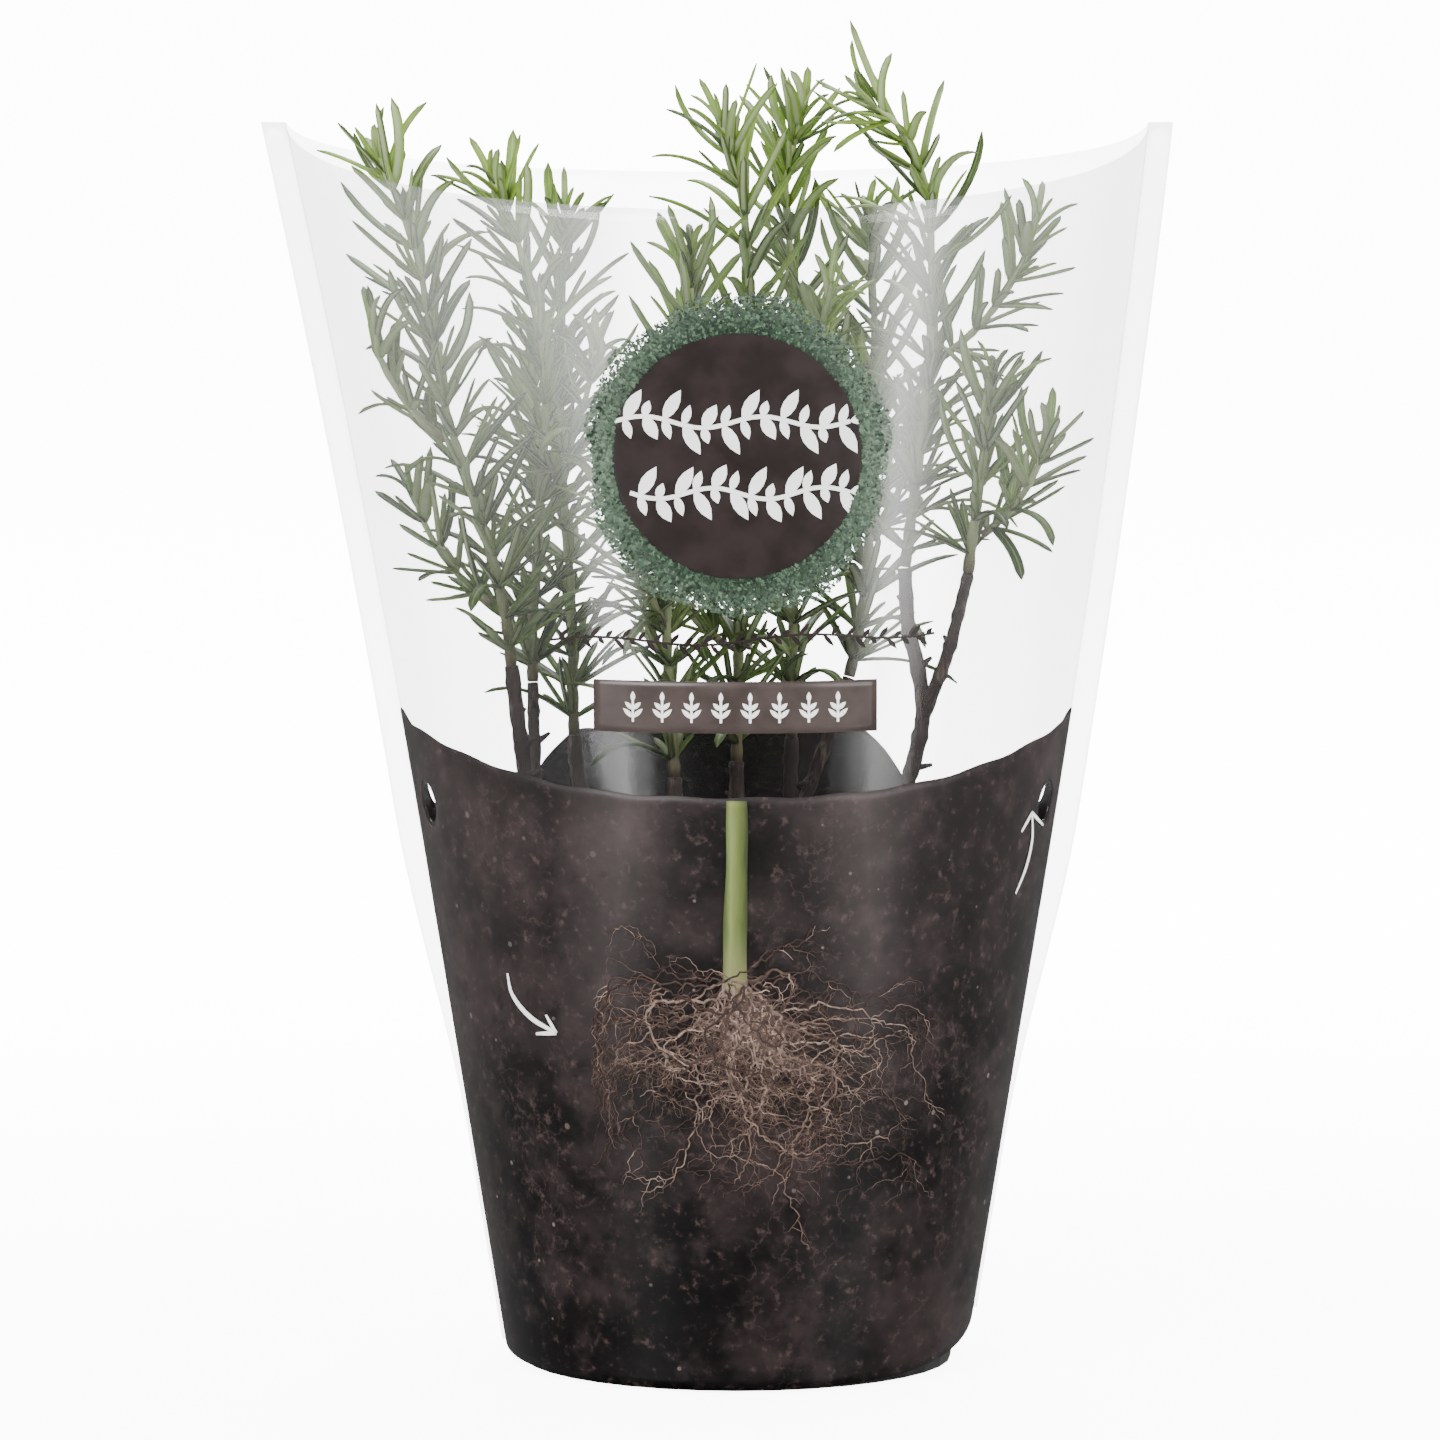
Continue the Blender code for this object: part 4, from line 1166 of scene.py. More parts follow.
@dataclass
class LeafyShoots:
    """The green shoots with all their leaves, big and small."""

    growth: Growth
    leaf_finish: LeafFinish = LeafFinish()
    stem_finish: ShootFinish = ShootFinish()
    blade: LeafBlade = field(default_factory=LeafBlade)
    tuft_length: float = 0.0125
    tuft_leaves: dict[LeafPart, int] = field(default_factory=lambda: {LeafPart.LEADER: 3, LeafPart.SIDE: 2})
    crown_leaves: dict[LeafPart, int] = field(default_factory=lambda: {LeafPart.LEADER: 8, LeafPart.SIDE: 5})
    young_droop: Pair = (-0.15, 0.25)
    spiral: float = 2.4
    stem_step: float = 0.002
    stem_sides: int = 8
    seed: int = 23

    def tuft(self, shoot: Shoot, leaf: Leaf, dice: random.Random, heap: Gathered, life: Shares) -> None:
        """Adds the small young leaves in a leaf's axil.

        Args:
            shoot: the shoot that bears the leaf.
            leaf: the leaf whose axil it is.
            dice: the seeded source of chance.
            heap: the mesh that gathers them.
            life: age and tint of the big leaf.
        """
        foot, middle, _ = leaf.midrib
        run = (middle - foot).normalized()
        _, axis = along(shoot.axis, leaf.share * route_length(shoot.axis))
        for _ in range(self.tuft_leaves[shoot.part] + (dice.random() < 0.4)):
            lean = dice.uniform(0.20, 0.70)
            spread = axis.cross(run).normalized() * dice.uniform(-0.8, 0.8)
            way = (axis * lean + run * (1.0 - lean) + spread).normalized()
            length = self.tuft_length * dice.uniform(0.5, 1.5) * (1.0 - 0.1 * leaf.share)
            second = (way + run * dice.uniform(-0.15, 0.35)).normalized()
            points = bent_leaf(foot, way, second, length)
            if not all(self.growth.inside(spot) for spot in points[1:]):
                continue
            width = self.blade.full_width * dice.uniform(0.5, 0.75)
            youth = (min(1.0, life[0] + 0.3), dice.random(), 0.0)
            self.blade.add_to(heap, points, width, youth, dice.uniform(*self.young_droop))

    def crown(self, shoot: Shoot, dice: random.Random, heap: Gathered) -> None:
        """Adds the cluster of young leaves round a shoot's growing tip."""
        end = shoot.axis[-1]
        ahead = (shoot.axis[-1] - shoot.axis[-2]).normalized()
        side = ahead.orthogonal().normalized()
        number = self.crown_leaves[shoot.part]
        for i in range(number):
            turn = Matrix.Rotation(i * self.spiral, 3, ahead)
            lean = 0.16 + 1.05 * i / number
            way = (ahead + (turn @ side) * lean).normalized()
            foot = end - ahead * (0.0006 + 0.0060 * i / number)
            length = (0.0080 + 0.0120 * i / number) * dice.uniform(0.75, 1.15)
            bent = (way + (turn @ side) * dice.uniform(-0.2, 0.9)).normalized()
            points = bent_leaf(foot, way, bent, length)
            if all(self.growth.inside(spot) for spot in points[1:]):
                width = self.blade.full_width * dice.uniform(0.6, 0.85)
                youth = (dice.uniform(0.6, 1.0), dice.random(), 0.0)
                self.blade.add_to(heap, points, width, youth, dice.uniform(*self.young_droop))

    def build_stem(self, shoot: Shoot, material: Material) -> None:
        """Builds a shoot's own stem, faintly knuckled and browner at its foot."""
        steps = smooth_route(shoot.axis, self.stem_step)
        radii = []
        for i in range(len(steps)):
            share = i / (len(steps) - 1)
            radius = shoot.start_radius + (shoot.tip_radius - shoot.start_radius) * share
            radii.append(radius * (1.0 + 0.10 * math.sin(i * 2.03)))
        stem = Gathered()
        verts, faces = swept(steps, radii, self.stem_sides)
        stem.add(verts, faces)
        ages = [min(1.0, 0.12 + i / len(steps)) for i in range(len(steps))]
        stem.life = [(age, 0.0, 0.0) for age in ages for _ in range(self.stem_sides)]
        hand_over(stem.piece(f"{shoot.name}_stem"), material, "needle_green", shoot.name)

    def build(self) -> None:
        """Builds one piece of leaves and one of stem for each shoot."""
        dice = random.Random(self.seed)
        leaf_material, stem_material = self.leaf_finish.build(), self.stem_finish.build()
        for shoot in self.growth.shoots:
            heap = Gathered()
            for leaf in shoot.leaves:
                age = min(1.0, max(0.0, leaf.share * 0.9 + dice.uniform(-0.2, 0.2)))
                life = (age, dice.random(), 0.0)
                width = self.blade.full_width * dice.uniform(0.80, 1.12)
                self.blade.add_to(heap, leaf.midrib, width, life, dice.uniform(-0.25, 0.45))
                self.tuft(shoot, leaf, dice, heap, life)
            self.crown(shoot, dice, heap)
            hand_over(heap.piece(f"{shoot.name}_leaves"), leaf_material, "needle_green", shoot.name)
            self.build_stem(shoot, stem_material)


@dataclass
class WoodyStems:
    """The brown lower stems, ringed by old leaf scars and stubs."""

    growth: Growth
    finish: BarkFinish = BarkFinish()
    radius: float = 0.0019
    top_radius: float = 0.0015
    fork_end_radius: float = 0.0012
    sides: int = 14
    step: float = 0.0015
    scar_spacing: float = 0.0068
    scar_length: float = 0.0009
    scar_swelling: float = 0.16
    lowest_stub: float = 0.008
    stub_lengths: Shares = (0.0022, 0.0026, 0.0042)
    stub_radii: Shares = (0.0008, 0.0006, 0.00035)
    seed: int = 5

    def limb(self, heap: Gathered, route: Route, start: float, end: float, dice: random.Random) -> None:
        """Adds one limb with knuckles and, at each, the stub of a lost leaf or twig.

        Args:
            heap: the mesh that gathers it.
            route: its centre line.
            start: its radius at its foot.
            end: its radius at its top.
            dice: the seeded source of chance.
        """
        steps = smooth_route(route, self.step)
        total, walked = route_length(steps), 0.0
        radii = []
        for i, point in enumerate(steps):
            walked += (point - steps[i - 1]).length if i else 0.0
            from_scar = (walked % self.scar_spacing) - self.scar_spacing / 2
            knuckle = self.scar_swelling * math.exp(-(from_scar / self.scar_length) ** 2)
            swelling = 0.94 + knuckle + 0.05 * math.sin(walked * 1900.0)
            radii.append((start + (end - start) * walked / total) * swelling)
        verts, faces = swept(steps, radii, self.sides)
        centre = [steps[i // self.sides] for i in range(len(verts))]
        rough = [v + (v - c) * dice.uniform(-0.07, 0.07) for v, c in zip(verts, centre)]
        heap.add(rough, faces, (0.0, dice.random(), 0.0))
        spot = self.scar_spacing / 2
        while spot < total - 0.004:
            root, axis = along(steps, spot)
            if root.z > self.growth.peat_level + self.lowest_stub:
                side = Matrix.Rotation(dice.uniform(0, 6.28), 3, axis) @ axis.orthogonal().normalized()
                way = (side + axis * 0.5).normalized()
                reach = dice.choice(self.stub_lengths)
                stub = [root + way * 0.0004, root + way * reach * 0.6, root + way * reach]
                verts, faces = swept(stub, self.stub_radii, 7)
                heap.add(verts, faces, (0.0, dice.random(), 0.0))
            spot += self.scar_spacing

    def build(self) -> None:
        """Builds one piece for each cutting."""
        dice = random.Random(self.seed)
        material = self.finish.build()
        for wood in self.growth.woods:
            heap = Gathered()
            self.limb(heap, wood.stem, self.radius, self.top_radius, dice)
            for fork in wood.forks:
                self.limb(heap, fork, self.top_radius, self.fork_end_radius, dice)
            hand_over(heap.piece(f"{wood.name}_bark"), material, "bark", wood.name)


# ---------------------------------------------------------------- pot and peat


@dataclass
class NurseryPot:
    """The moulded pot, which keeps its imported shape."""

    finish: PotPlastic = PotPlastic()

    def dress(self) -> None:
        """Gives the pot its plastic."""
        coat(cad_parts["pot"], self.finish.build())
        LOG.info("dressed pot")


@dataclass
class PeatSurface:
    """The peat in the pot, with loose crumbs on top."""

    growth: Growth
    finish: PeatFinish = PeatFinish()
    crumbs: int = 620
    crumb_sizes: tuple[float, ...] = (0.0009, 0.0012, 0.0016, 0.0024)
    wall_clearance: float = 0.003
    stem_clearance: float = 0.0026
    seed: int = 11

    def dress(self) -> Material:
        """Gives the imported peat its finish, and returns it."""
        material = self.finish.build()
        coat(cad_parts["peat"], material)
        LOG.info("dressed peat")
        return material

    def build(self) -> None:
        """Strews crumbs over the peat."""
        material = self.dress()
        dice = random.Random(self.seed)
        low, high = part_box("peat")
        reach = (high[0] - low[0]) / 2 - self.wall_clearance
        heap = Gathered()
        lump = bmesh.new()
        bmesh.ops.create_icosphere(lump, subdivisions=1, radius=1.0)
        shape = [v.co.copy() for v in lump.verts]
        faces = [[v.index for v in f.verts] for f in lump.faces]
        lump.free()
        feet = [wood.stem[1] for wood in self.growth.woods]
        for _ in range(self.crumbs):
            out, turn = reach * math.sqrt(dice.random()), dice.uniform(0, TURN)
            size = dice.choice(self.crumb_sizes) * dice.uniform(0.7, 1.2)
            top = self.growth.peat_level + self.growth.peat_crown * (1.0 - (out / reach) ** 2)
            spot = Vector((out * math.cos(turn), out * math.sin(turn), top + size * 0.15))
            if any((spot.xy - foot.xy).length < self.stem_clearance + size for foot in feet):
                continue
            angle = dice.uniform(0, 6.28)
            spin = Matrix.Rotation(angle, 3, Vector((dice.random(), dice.random(), dice.random() + 0.1)))
            flat = Vector((1.0, dice.uniform(0.6, 1.0), dice.uniform(0.35, 0.7)))
            verts = []
            for v in shape:
                grown = Vector((v.x * flat.x, v.y * flat.y, v.z * flat.z)) * size * dice.uniform(0.8, 1.15)
                verts.append(spot + spin @ grown)
            heap.add(verts, faces, (0.0, dice.random(), 0.0))
        hand_over(heap.piece("peat_crumbs", smooth=False), material, "peat")


# ---------------------------------------------------------------- the film sleeve and its print


@dataclass
class FilmSleeve:
    """The two clear panels, with their welded margins and vent holes."""

    shape: SleeveShape
    finish: FilmFinish = FilmFinish()
    spans: int = 96
    rows: int = 60
    skin: float = 0.00012
    punch_sides: int = 28
    punch_depth: float = 0.006

    def sheet(self, name: str, facing: Facing, high: Callable[[float], float], lift: float, skin: float,
              margin: bool, hole: float) -> Piece:
        """A closed skin that follows a panel, with its vent holes cut.

        Args:
            name: the piece's name.
            facing: which panel.
            high: height of its upper edge for a side from -1 to 1.
            lift: how far outside the film's inner face it starts.
            skin: its thickness, added outwards.
            margin: whether it runs on into the welded margins.
            hole: radius of its vent holes.

        Returns:
            The piece, with its modifiers applied.
        """
        columns = [(2.0 * i / self.spans - 1.0, 0.0) for i in range(self.spans + 1)]
        if margin:
            columns = [(-1.0, 1.0), (-1.0, 0.5), *columns, (1.0, 0.5), (1.0, 1.0)]
        verts = []
        for row in range(self.rows + 1):
            for side, out in columns:
                foot = self.shape.foot(side)
                z = foot + (high(side) - foot) * row / self.rows
                spot = self.shape.point(side * math.pi / 2, z, facing.value, lift)
                if abs(side) == 1.0:
                    beyond = self.shape.margin(z) * out if margin else lift
                    spot.x = self.shape.shift(z) + side * (self.shape.half_width(z) + beyond)
                    spot.y = facing.value * (self.shape.seam_gap / 2 + lift)
                verts.append(spot)
        count = len(columns)
        faces = [[r * count + c, r * count + c + 1, (r + 1) * count + c + 1, (r + 1) * count + c]
                 for r in range(self.rows) for c in range(count - 1)]
        if facing is Facing.BACK:
            faces = [f[::-1] for f in faces]
        piece = new_piece(name, verts, faces)
        solid = piece.modifiers.new("skin", "SOLIDIFY")
        solid.thickness = skin
        solid.offset = 1.0
        apply(piece)
        for side in (-1, 1):
            self.punch(piece, side, facing, hole)
        return piece

    def punch(self, piece: Piece, side: int, facing: Facing, radius: float) -> None:
        """Cuts one vent hole."""
        spot, outward = self.shape.vent(side, facing.value)
        mesh = bpy.data.meshes.new("punch")
        tool = bmesh.new()
        bmesh.ops.create_cone(tool, cap_ends=True, segments=self.punch_sides, radius1=radius, radius2=radius,
                              depth=self.punch_depth)
        tool.to_mesh(mesh)
        tool.free()
        cutter = bpy.data.objects.new("punch", mesh)
        bpy.context.scene.collection.objects.link(cutter)
        cutter.location = spot
        cutter.rotation_euler = outward.to_track_quat("Z", "Y").to_euler()
        cut = piece.modifiers.new("vent", "BOOLEAN")
        cut.object = cutter
        cut.solver = "EXACT"
        apply(piece)
        bpy.data.objects.remove(cutter, do_unlink=True)

    def build(self) -> None:
        """Builds both panels."""
        material = self.finish.build()
        for facing, node in ((Facing.FRONT, "sleeve_front"), (Facing.BACK, "sleeve_back")):
            name = f"film_{facing.name.lower()}"
            panel = self.sheet(name, facing, self.shape.top, 0.0, self.skin, True, self.shape.vent_radius)
            hand_over(panel, material, "clear_film", node)


def turned(shape: Sequence[Pair], start: Pair, angle: float, size: Pair) -> list[Pair]:
    """An outline of unit length and width, at this size, turned and moved to its start."""
    (x, z), (length, width) = start, size
    cos, sin = math.cos(angle), math.sin(angle)
    return [(x + a * length * cos - b * width * sin, z + a * length * sin + b * width * cos)
            for a, b in shape]


@dataclass
class SleevePrint:
    """Everything printed on the sleeve: earth, stem and roots, badge, band, twig and arrows.

    A print's lift is how far it lies over the lowest ink, so that one ink covers another.
    """

    shape: SleeveShape
    sleeve: FilmSleeve
    earth_corner: float = 0.131
    earth_dip: float = 0.0108
    back_edge: float = 0.1085
    back_hump: float = 0.0125
    back_shade: float = 0.85
    back_gloss: float = 0.03
    earth_lift: float = 0.00020
    earth_skin: float = 0.00010
    vent_clearance: float = 0.0010
    ink_base: float = 0.00045
    ink_skin: float = 0.00008
    leaflet_skin: float = 0.00006
    stem_centre: float = -0.0003
    stem_width: float = 0.0040
    stem_lit_half: float = 0.0023
    stem_lift: float = 0.00012
    root_crown: float = 0.083
    root_count: int = 50
    root_pace: float = 0.0009
    root_spread: Pair = (-0.0285, 0.0405)
    root_turn_in: Pair = (-0.022, 0.033)
    root_depths: Pair = (0.029, 0.0945)
    badge_height: float = 0.187
    badge_radius: float = 0.0255
    badge_lift: float = 0.00012
    ring_radius: float = 0.0317
    ring_lift: Pair = (0.00020, 0.00030)
    wash_width: float = 0.0024
    wash_lift: float = 0.00002
    wash_raggedness: float = 0.06
    fleck_count: int = 15000
    vine_lift: float = 0.00022
    vine_swing: float = 0.0011
    vines: tuple[Shares, ...] = ((0.0066, -0.0235, 0.0215), (-0.0072, -0.0205, 0.0215))
    band_height: float = 0.138
    band_size: Pair = (0.0544, 0.0102)
    band_centre: float = -0.0004
    band_lift: float = 0.00030
    sprig_lift: float = 0.00040
    sprig_spacing: float = 0.0056
    twig_height: float = 0.1512
    twig_ends: Pair = (-0.0360, 0.0380)
    twig_lift: float = 0.00012
    arrow_lift: float = 0.00010
    barb: Shares = (0.0, 0.0020, 0.0040)
    arrows: tuple[tuple[Pair, ...], ...] = (
        ((-0.0448, 0.0825), (-0.0438, 0.0782), (-0.0403, 0.0742), (-0.0352, 0.0716)),
        ((0.0545, 0.0970), (0.0566, 0.1020), (0.0578, 0.1075), (0.0577, 0.1130)),
    )
    seed: int = 31
    dark_ink: InkFinish = InkFinish("umber_ink", (0.013, 0.008, 0.007), (0.021, 0.012, 0.012))
    band_ink: InkFinish = InkFinish("faded_umber_ink", (0.036, 0.025, 0.022), (0.054, 0.038, 0.034))
    wash_ink: InkFinish = InkFinish("ring_green_ink", (0.006, 0.020, 0.010), (0.030, 0.070, 0.036), 0.0, 1100)
    white_ink: InkFinish = InkFinish("white_ink", (0.80, 0.79, 0.77), (0.86, 0.85, 0.84), 0.2)

    def earth_edge(self, side: float) -> float:
        """Height of the printed earth's upper edge, with side from -1 to 1."""
        across = math.sin(abs(side) * math.pi / 2)
        return self.earth_corner - self.earth_dip * (1.0 - across ** 2.9) + 0.0002 * math.sin(40.0 * side)

    def earth_edge_behind(self, side: float) -> float:
        """Height of the back panel's printed edge: a heap in the middle, and points at the seams."""
        across = math.sin(abs(side) * math.pi / 2)
        share = min(1.0, max(0.0, (0.66 - abs(math.sin(side * math.pi / 2) + 0.06)) / 0.22))
        clods = 0.0007 * math.sin(23.0 * side) + 0.0005 * math.sin(57.0 * side + 1.0)
        heap = self.back_hump * share * share * (3.0 - 2.0 * share) + clods * share
        return self.back_edge + heap + (self.earth_corner - self.back_edge) * across ** 14

    def on_front(self, x: float, z: float, lift: float) -> Vector:
        """A printed point of the front panel."""
        return self.shape.front_point(x, z, self.ink_base + lift)

    def printed(self, piece: Piece, ink: EarthPrint | InkFinish | LeafletInk | StemInk | RootInk) -> None:
        """Dresses a printed piece."""
        hand_over(piece, ink.build(), "clear_film")

    def leaflet(self, heap: Gathered, foot: Pair, angle: float, size: Pair, lift: float) -> None:
        """Adds one small pointed printed leaf, as a closed fan of faces round its middle.

        Args:
            heap: the mesh that gathers it.
            foot: where it starts, as x and z.
            angle: its direction, from +X towards +Z.
            size: its length and width.
            lift: how far it lies over the lowest ink.
        """
        flank = ((0.10, 0.22), (0.26, 0.42), (0.48, 0.50), (0.70, 0.40), (0.88, 0.18))
        shape = ((0.0, 0.0), *flank, (1.0, 0.0), *((a, -b) for a, b in reversed(flank)))
        outline = turned(shape, foot, angle, size)[::-1]
        count = len(outline)
        middle = (sum(x for x, _ in outline) / count, sum(z for _, z in outline) / count)
        verts = [self.on_front(x, z, lift) for x, z in (*outline, middle)]
        verts += [self.on_front(x, z, lift - self.leaflet_skin) for x, z in (*outline, middle)]
        faces = []
        for i in range(count):
            j = (i + 1) % count
            low_i, low_j = count + 1 + i, count + 1 + j
            faces += [[i, j, count], [low_j, low_i, 2 * count + 1], [j, i, low_i, low_j]]
        heap.add(verts, faces)

    def fleck(self, heap: Gathered, middle: Pair, angle: float, size: Pair, lift: float,
              life: Shares) -> None:
        """Adds one tiny leaf of the badge's ring, as a low four-cornered gem.

        Args:
            heap: the mesh that gathers it.
            middle: its middle, as x and z.
            angle: its direction, from +X towards +Z.
            size: its length and width.
            lift: how far it lies over the lowest ink.
            life: fading with painted sheen, tint and a spare number.
        """
        corners = turned(((0.5, 0.0), (0.0, 0.5), (-0.5, 0.0), (0.0, -0.5)), middle, angle, size)
        verts = [self.on_front(x, z, lift) for x, z in corners]
        verts += [self.on_front(*middle, lift + self.ink_skin), self.on_front(*middle, lift - self.ink_skin)]
        edges = ((0, 1), (1, 2), (2, 3), (3, 0))
        heap.add(verts, [*([j, i, 4] for i, j in edges), *([i, j, 5] for i, j in edges)], life)

    def grid_skin(self, name: str, spots: Sequence[Sequence[Pair]], lift: float) -> Piece:
        """A closed skin over rows of (x, z) points on the front panel."""
        rows, count = len(spots), len(spots[0])
        top = [self.on_front(x, z, lift) for row in spots for x, z in row]
        under = [self.on_front(x, z, lift - self.ink_skin) for row in spots for x, z in row]
        size = rows * count
        faces = []
        for r in range(rows - 1):
            for c in range(count - 1):
                a, b, d, e = r * count + c, r * count + c + 1, (r + 1) * count + c + 1, (r + 1) * count + c
                faces += [[a, b, d, e], [size + e, size + d, size + b, size + a]]
        for c in range(count - 1):
            a, b = c, c + 1
            faces.append([b, a, size + a, size + b])
            a, b = (rows - 1) * count + c, (rows - 1) * count + c + 1
            faces.append([a, b, size + b, size + a])
        for r in range(rows - 1):
            a, b = r * count, (r + 1) * count
            faces.append([a, b, size + b, size + a])
            a, b = r * count + count - 1, (r + 1) * count + count - 1
            faces.append([b, a, size + a, size + b])
        return new_piece(name, top + under, faces)

    def disc(self, name: str, radius: float, height: float, lift: float, ragged: float = 0.0) -> Piece:
        """A closed round skin on the front panel, with its edge ragged by a share of its radius."""
        turns, rings = 192, 12
        rows = []
        for ring in range(rings + 1):
            out = radius * max(ring, 0.02) / rings
            row = []
            for i in range(turns):
                a = TURN * i / turns
                rim = 1.0 + ragged * (math.sin(7.0 * a) + math.sin(23.0 * a + 1.0) + math.sin(61.0 * a)) / 3.0
                row.append((out * rim * math.cos(a), height + out * rim * math.sin(a)))
            rows.append(row)
        verts = []
        for depth in (0.0, self.ink_skin):
            verts += [self.on_front(x, z, lift - depth) for row in rows for x, z in row]
        size, rim = (rings + 1) * turns, rings * turns
        faces = []
        for quad in bands(rings + 1, turns):
            faces += [quad[::-1], [size + k for k in quad]]
        for i in range(turns):
            j = (i + 1) % turns
            faces.append([rim + j, rim + i, size + rim + i, size + rim + j])
        faces.append([*range(turns)])
        faces.append([size + i for i in reversed(range(turns))])
        return new_piece(name, verts, faces)

    def stroke(self, heap: Gathered, points: Sequence[Pair], widths: Sequence[float], lift: float,
               life: Shares = UNMARKED) -> None:
        """Adds a printed line as a low tapering rib.

        Args:
            heap: the mesh that gathers it.
            points: its course, as x and z.
            widths: its width at each point.
            lift: how far it lies over the lowest ink.
            life: a spare number, its tone and another spare number.
        """
        sides, flattening = 6, 0.75
        route = [self.on_front(x, z, lift) for x, z in points]
        verts, faces = swept(route, [w / 2 for w in widths], sides)
        flat = []
        for i, v in enumerate(verts):
            centre = route[i // sides]
            outward = Vector((centre.x, centre.y, 0.0)).normalized()
            away = v - centre
            flat.append(centre + away - outward * away.dot(outward) * flattening)
        heap.add(flat, faces, life)

    def build_earth(self) -> None:
        """The printed earth on both panels."""
        behind = EarthPrint("printed_earth_behind", self.back_shade, self.back_gloss)
        hole = self.shape.vent_radius + self.vent_clearance
        for facing, edge, ink in ((Facing.FRONT, self.earth_edge, EarthPrint()),
                                  (Facing.BACK, self.earth_edge_behind, behind)):
            name = f"earth_print_{facing.name.lower()}"
            skin = self.sleeve.sheet(name, facing, edge, self.earth_lift, self.earth_skin, False, hole)
            self.printed(skin, ink)

    def build_roots(self) -> None:
        """A printed stem with a tangle of roots that fork and wander down from its foot."""
        dice = random.Random(self.seed)
        top = self.earth_edge(0.0) - 0.0006
        steps, columns = 24, 4
        rows = []
        for i in range(steps + 1):
            share = i / steps
            z = top + (self.root_crown - 0.002 - top) * share
            sway = 0.0002 * math.sin(5.0 * share + 0.6)
            half = self.stem_width / 2 * (1.0 + 0.22 * share + 0.04 * math.sin(13.0 * share))
            x = self.stem_centre + sway
            rows.append([(x + half * k / columns, z) for k in range(-columns, columns + 1)])
        stem = self.grid_skin("printed_stem", rows[::-1], self.stem_lift)
        self.printed(stem, StemInk(self.stem_centre, self.stem_lit_half, self.root_crown))
        self.build_tangle(dice)

    def build_tangle(self, dice: random.Random) -> None:
        """The roots: each wanders with its own slowly changing curl, and forks."""
        heap = Gathered()
        (left, right), (low, high) = self.root_spread, self.root_depths

        def wander(x: float, z: float, heading: float, width: float, length: float, depth: int) -> None:
            """Draws one root and its branches, down to a depth of forks."""
            points, widths = [(x, z)], [width]
            steps = max(4, int(length / self.root_pace))
            drift, tone = dice.uniform(-0.08, 0.08), dice.random()
            for i in range(steps):
                drift = max(-0.20, min(0.20, drift + dice.uniform(-0.09, 0.09)))
                pull = 0.070 if self.root_turn_in[0] < x < self.root_turn_in[1] else 0.30
                heading += drift + pull * (-math.pi / 2 - heading)
                crinkle = heading + dice.uniform(-0.8, 0.8)
                x += self.root_pace * math.cos(crinkle)
                z += self.root_pace * math.sin(crinkle)
                if not (left < x < right and low < z < high):
                    break
                points.append((x, z))
                widths.append(width * (1.0 - 0.65 * (i + 1) / steps))
                if depth and dice.random() < 0.23:
                    turn = dice.choice((-1, 1)) * dice.uniform(0.5, 1.3)
                    wander(x, z, heading + turn, widths[-1] * 0.72, dice.uniform(0.003, 0.011), depth - 1)
            if len(points) > 2:
                lift = 0.00004 + dice.uniform(0.0, 0.00010)
                self.stroke(heap, points, widths, lift, (0.0, tone, 0.0))

        for i in range(self.root_count):
            share = i / (self.root_count - 1)
            heading = -math.pi + share * (math.pi + 0.55) + dice.uniform(-0.2, 0.2)
            reach = dice.uniform(0.026, 0.078)
            foot = dice.uniform(-0.0028, 0.0024), self.root_crown + dice.uniform(-0.004, 0.0012)
            wander(*foot, heading, dice.uniform(0.00032, 0.00068), reach, 2)
        self.printed(heap.piece("printed_roots"), RootInk())

    def build_badge(self) -> None:
        """A plain dark disc in a ring of tiny leaves, with two leafy vines drawn across it."""
        dice = random.Random(self.seed + 1)
        wash = self.disc("badge_ring_wash", self.badge_radius + self.wash_width, self.badge_height,
                         self.wash_lift, self.wash_raggedness)
        self.printed(wash, self.wash_ink)
        disc = self.disc("badge_disc", self.badge_radius, self.badge_height, self.badge_lift)
        self.printed(disc, self.dark_ink)
        ring = Gathered()
        wide = self.ring_radius - self.badge_radius
        for _ in range(self.fleck_count):
            turn = dice.uniform(0.0, TURN)
            upright = abs(math.sin(turn))
            if dice.random() > 0.50 + 0.50 * upright:
                continue
            reach = 0.70 + 0.44 * upright + 0.10 * math.sin(5.0 * turn + 0.7) + 0.08 * math.sin(11.0 * turn)
            share = dice.random() ** 1.8
            out = self.badge_radius - 0.0012 + wide * reach * share
            middle = out * math.cos(turn), self.badge_height + out * math.sin(turn)
            size = dice.uniform(0.0007, 0.0019) * (1.0 - 0.5 * share)
            # paler towards the rim as faded print, and at the ring's left and right sides as painted sheen
            pale = min(1.0, 0.4 * share * dice.random() + 0.5 * (1.0 - upright) * dice.random())
            self.fleck(ring, middle, dice.uniform(0.0, math.pi), (size, size * dice.uniform(0.35, 0.8)),
                       dice.uniform(*self.ring_lift), (pale, dice.random(), 0.0))
        self.printed(ring.piece("badge_leaf_ring", smooth=False), LeafletInk())
        self.build_vines()

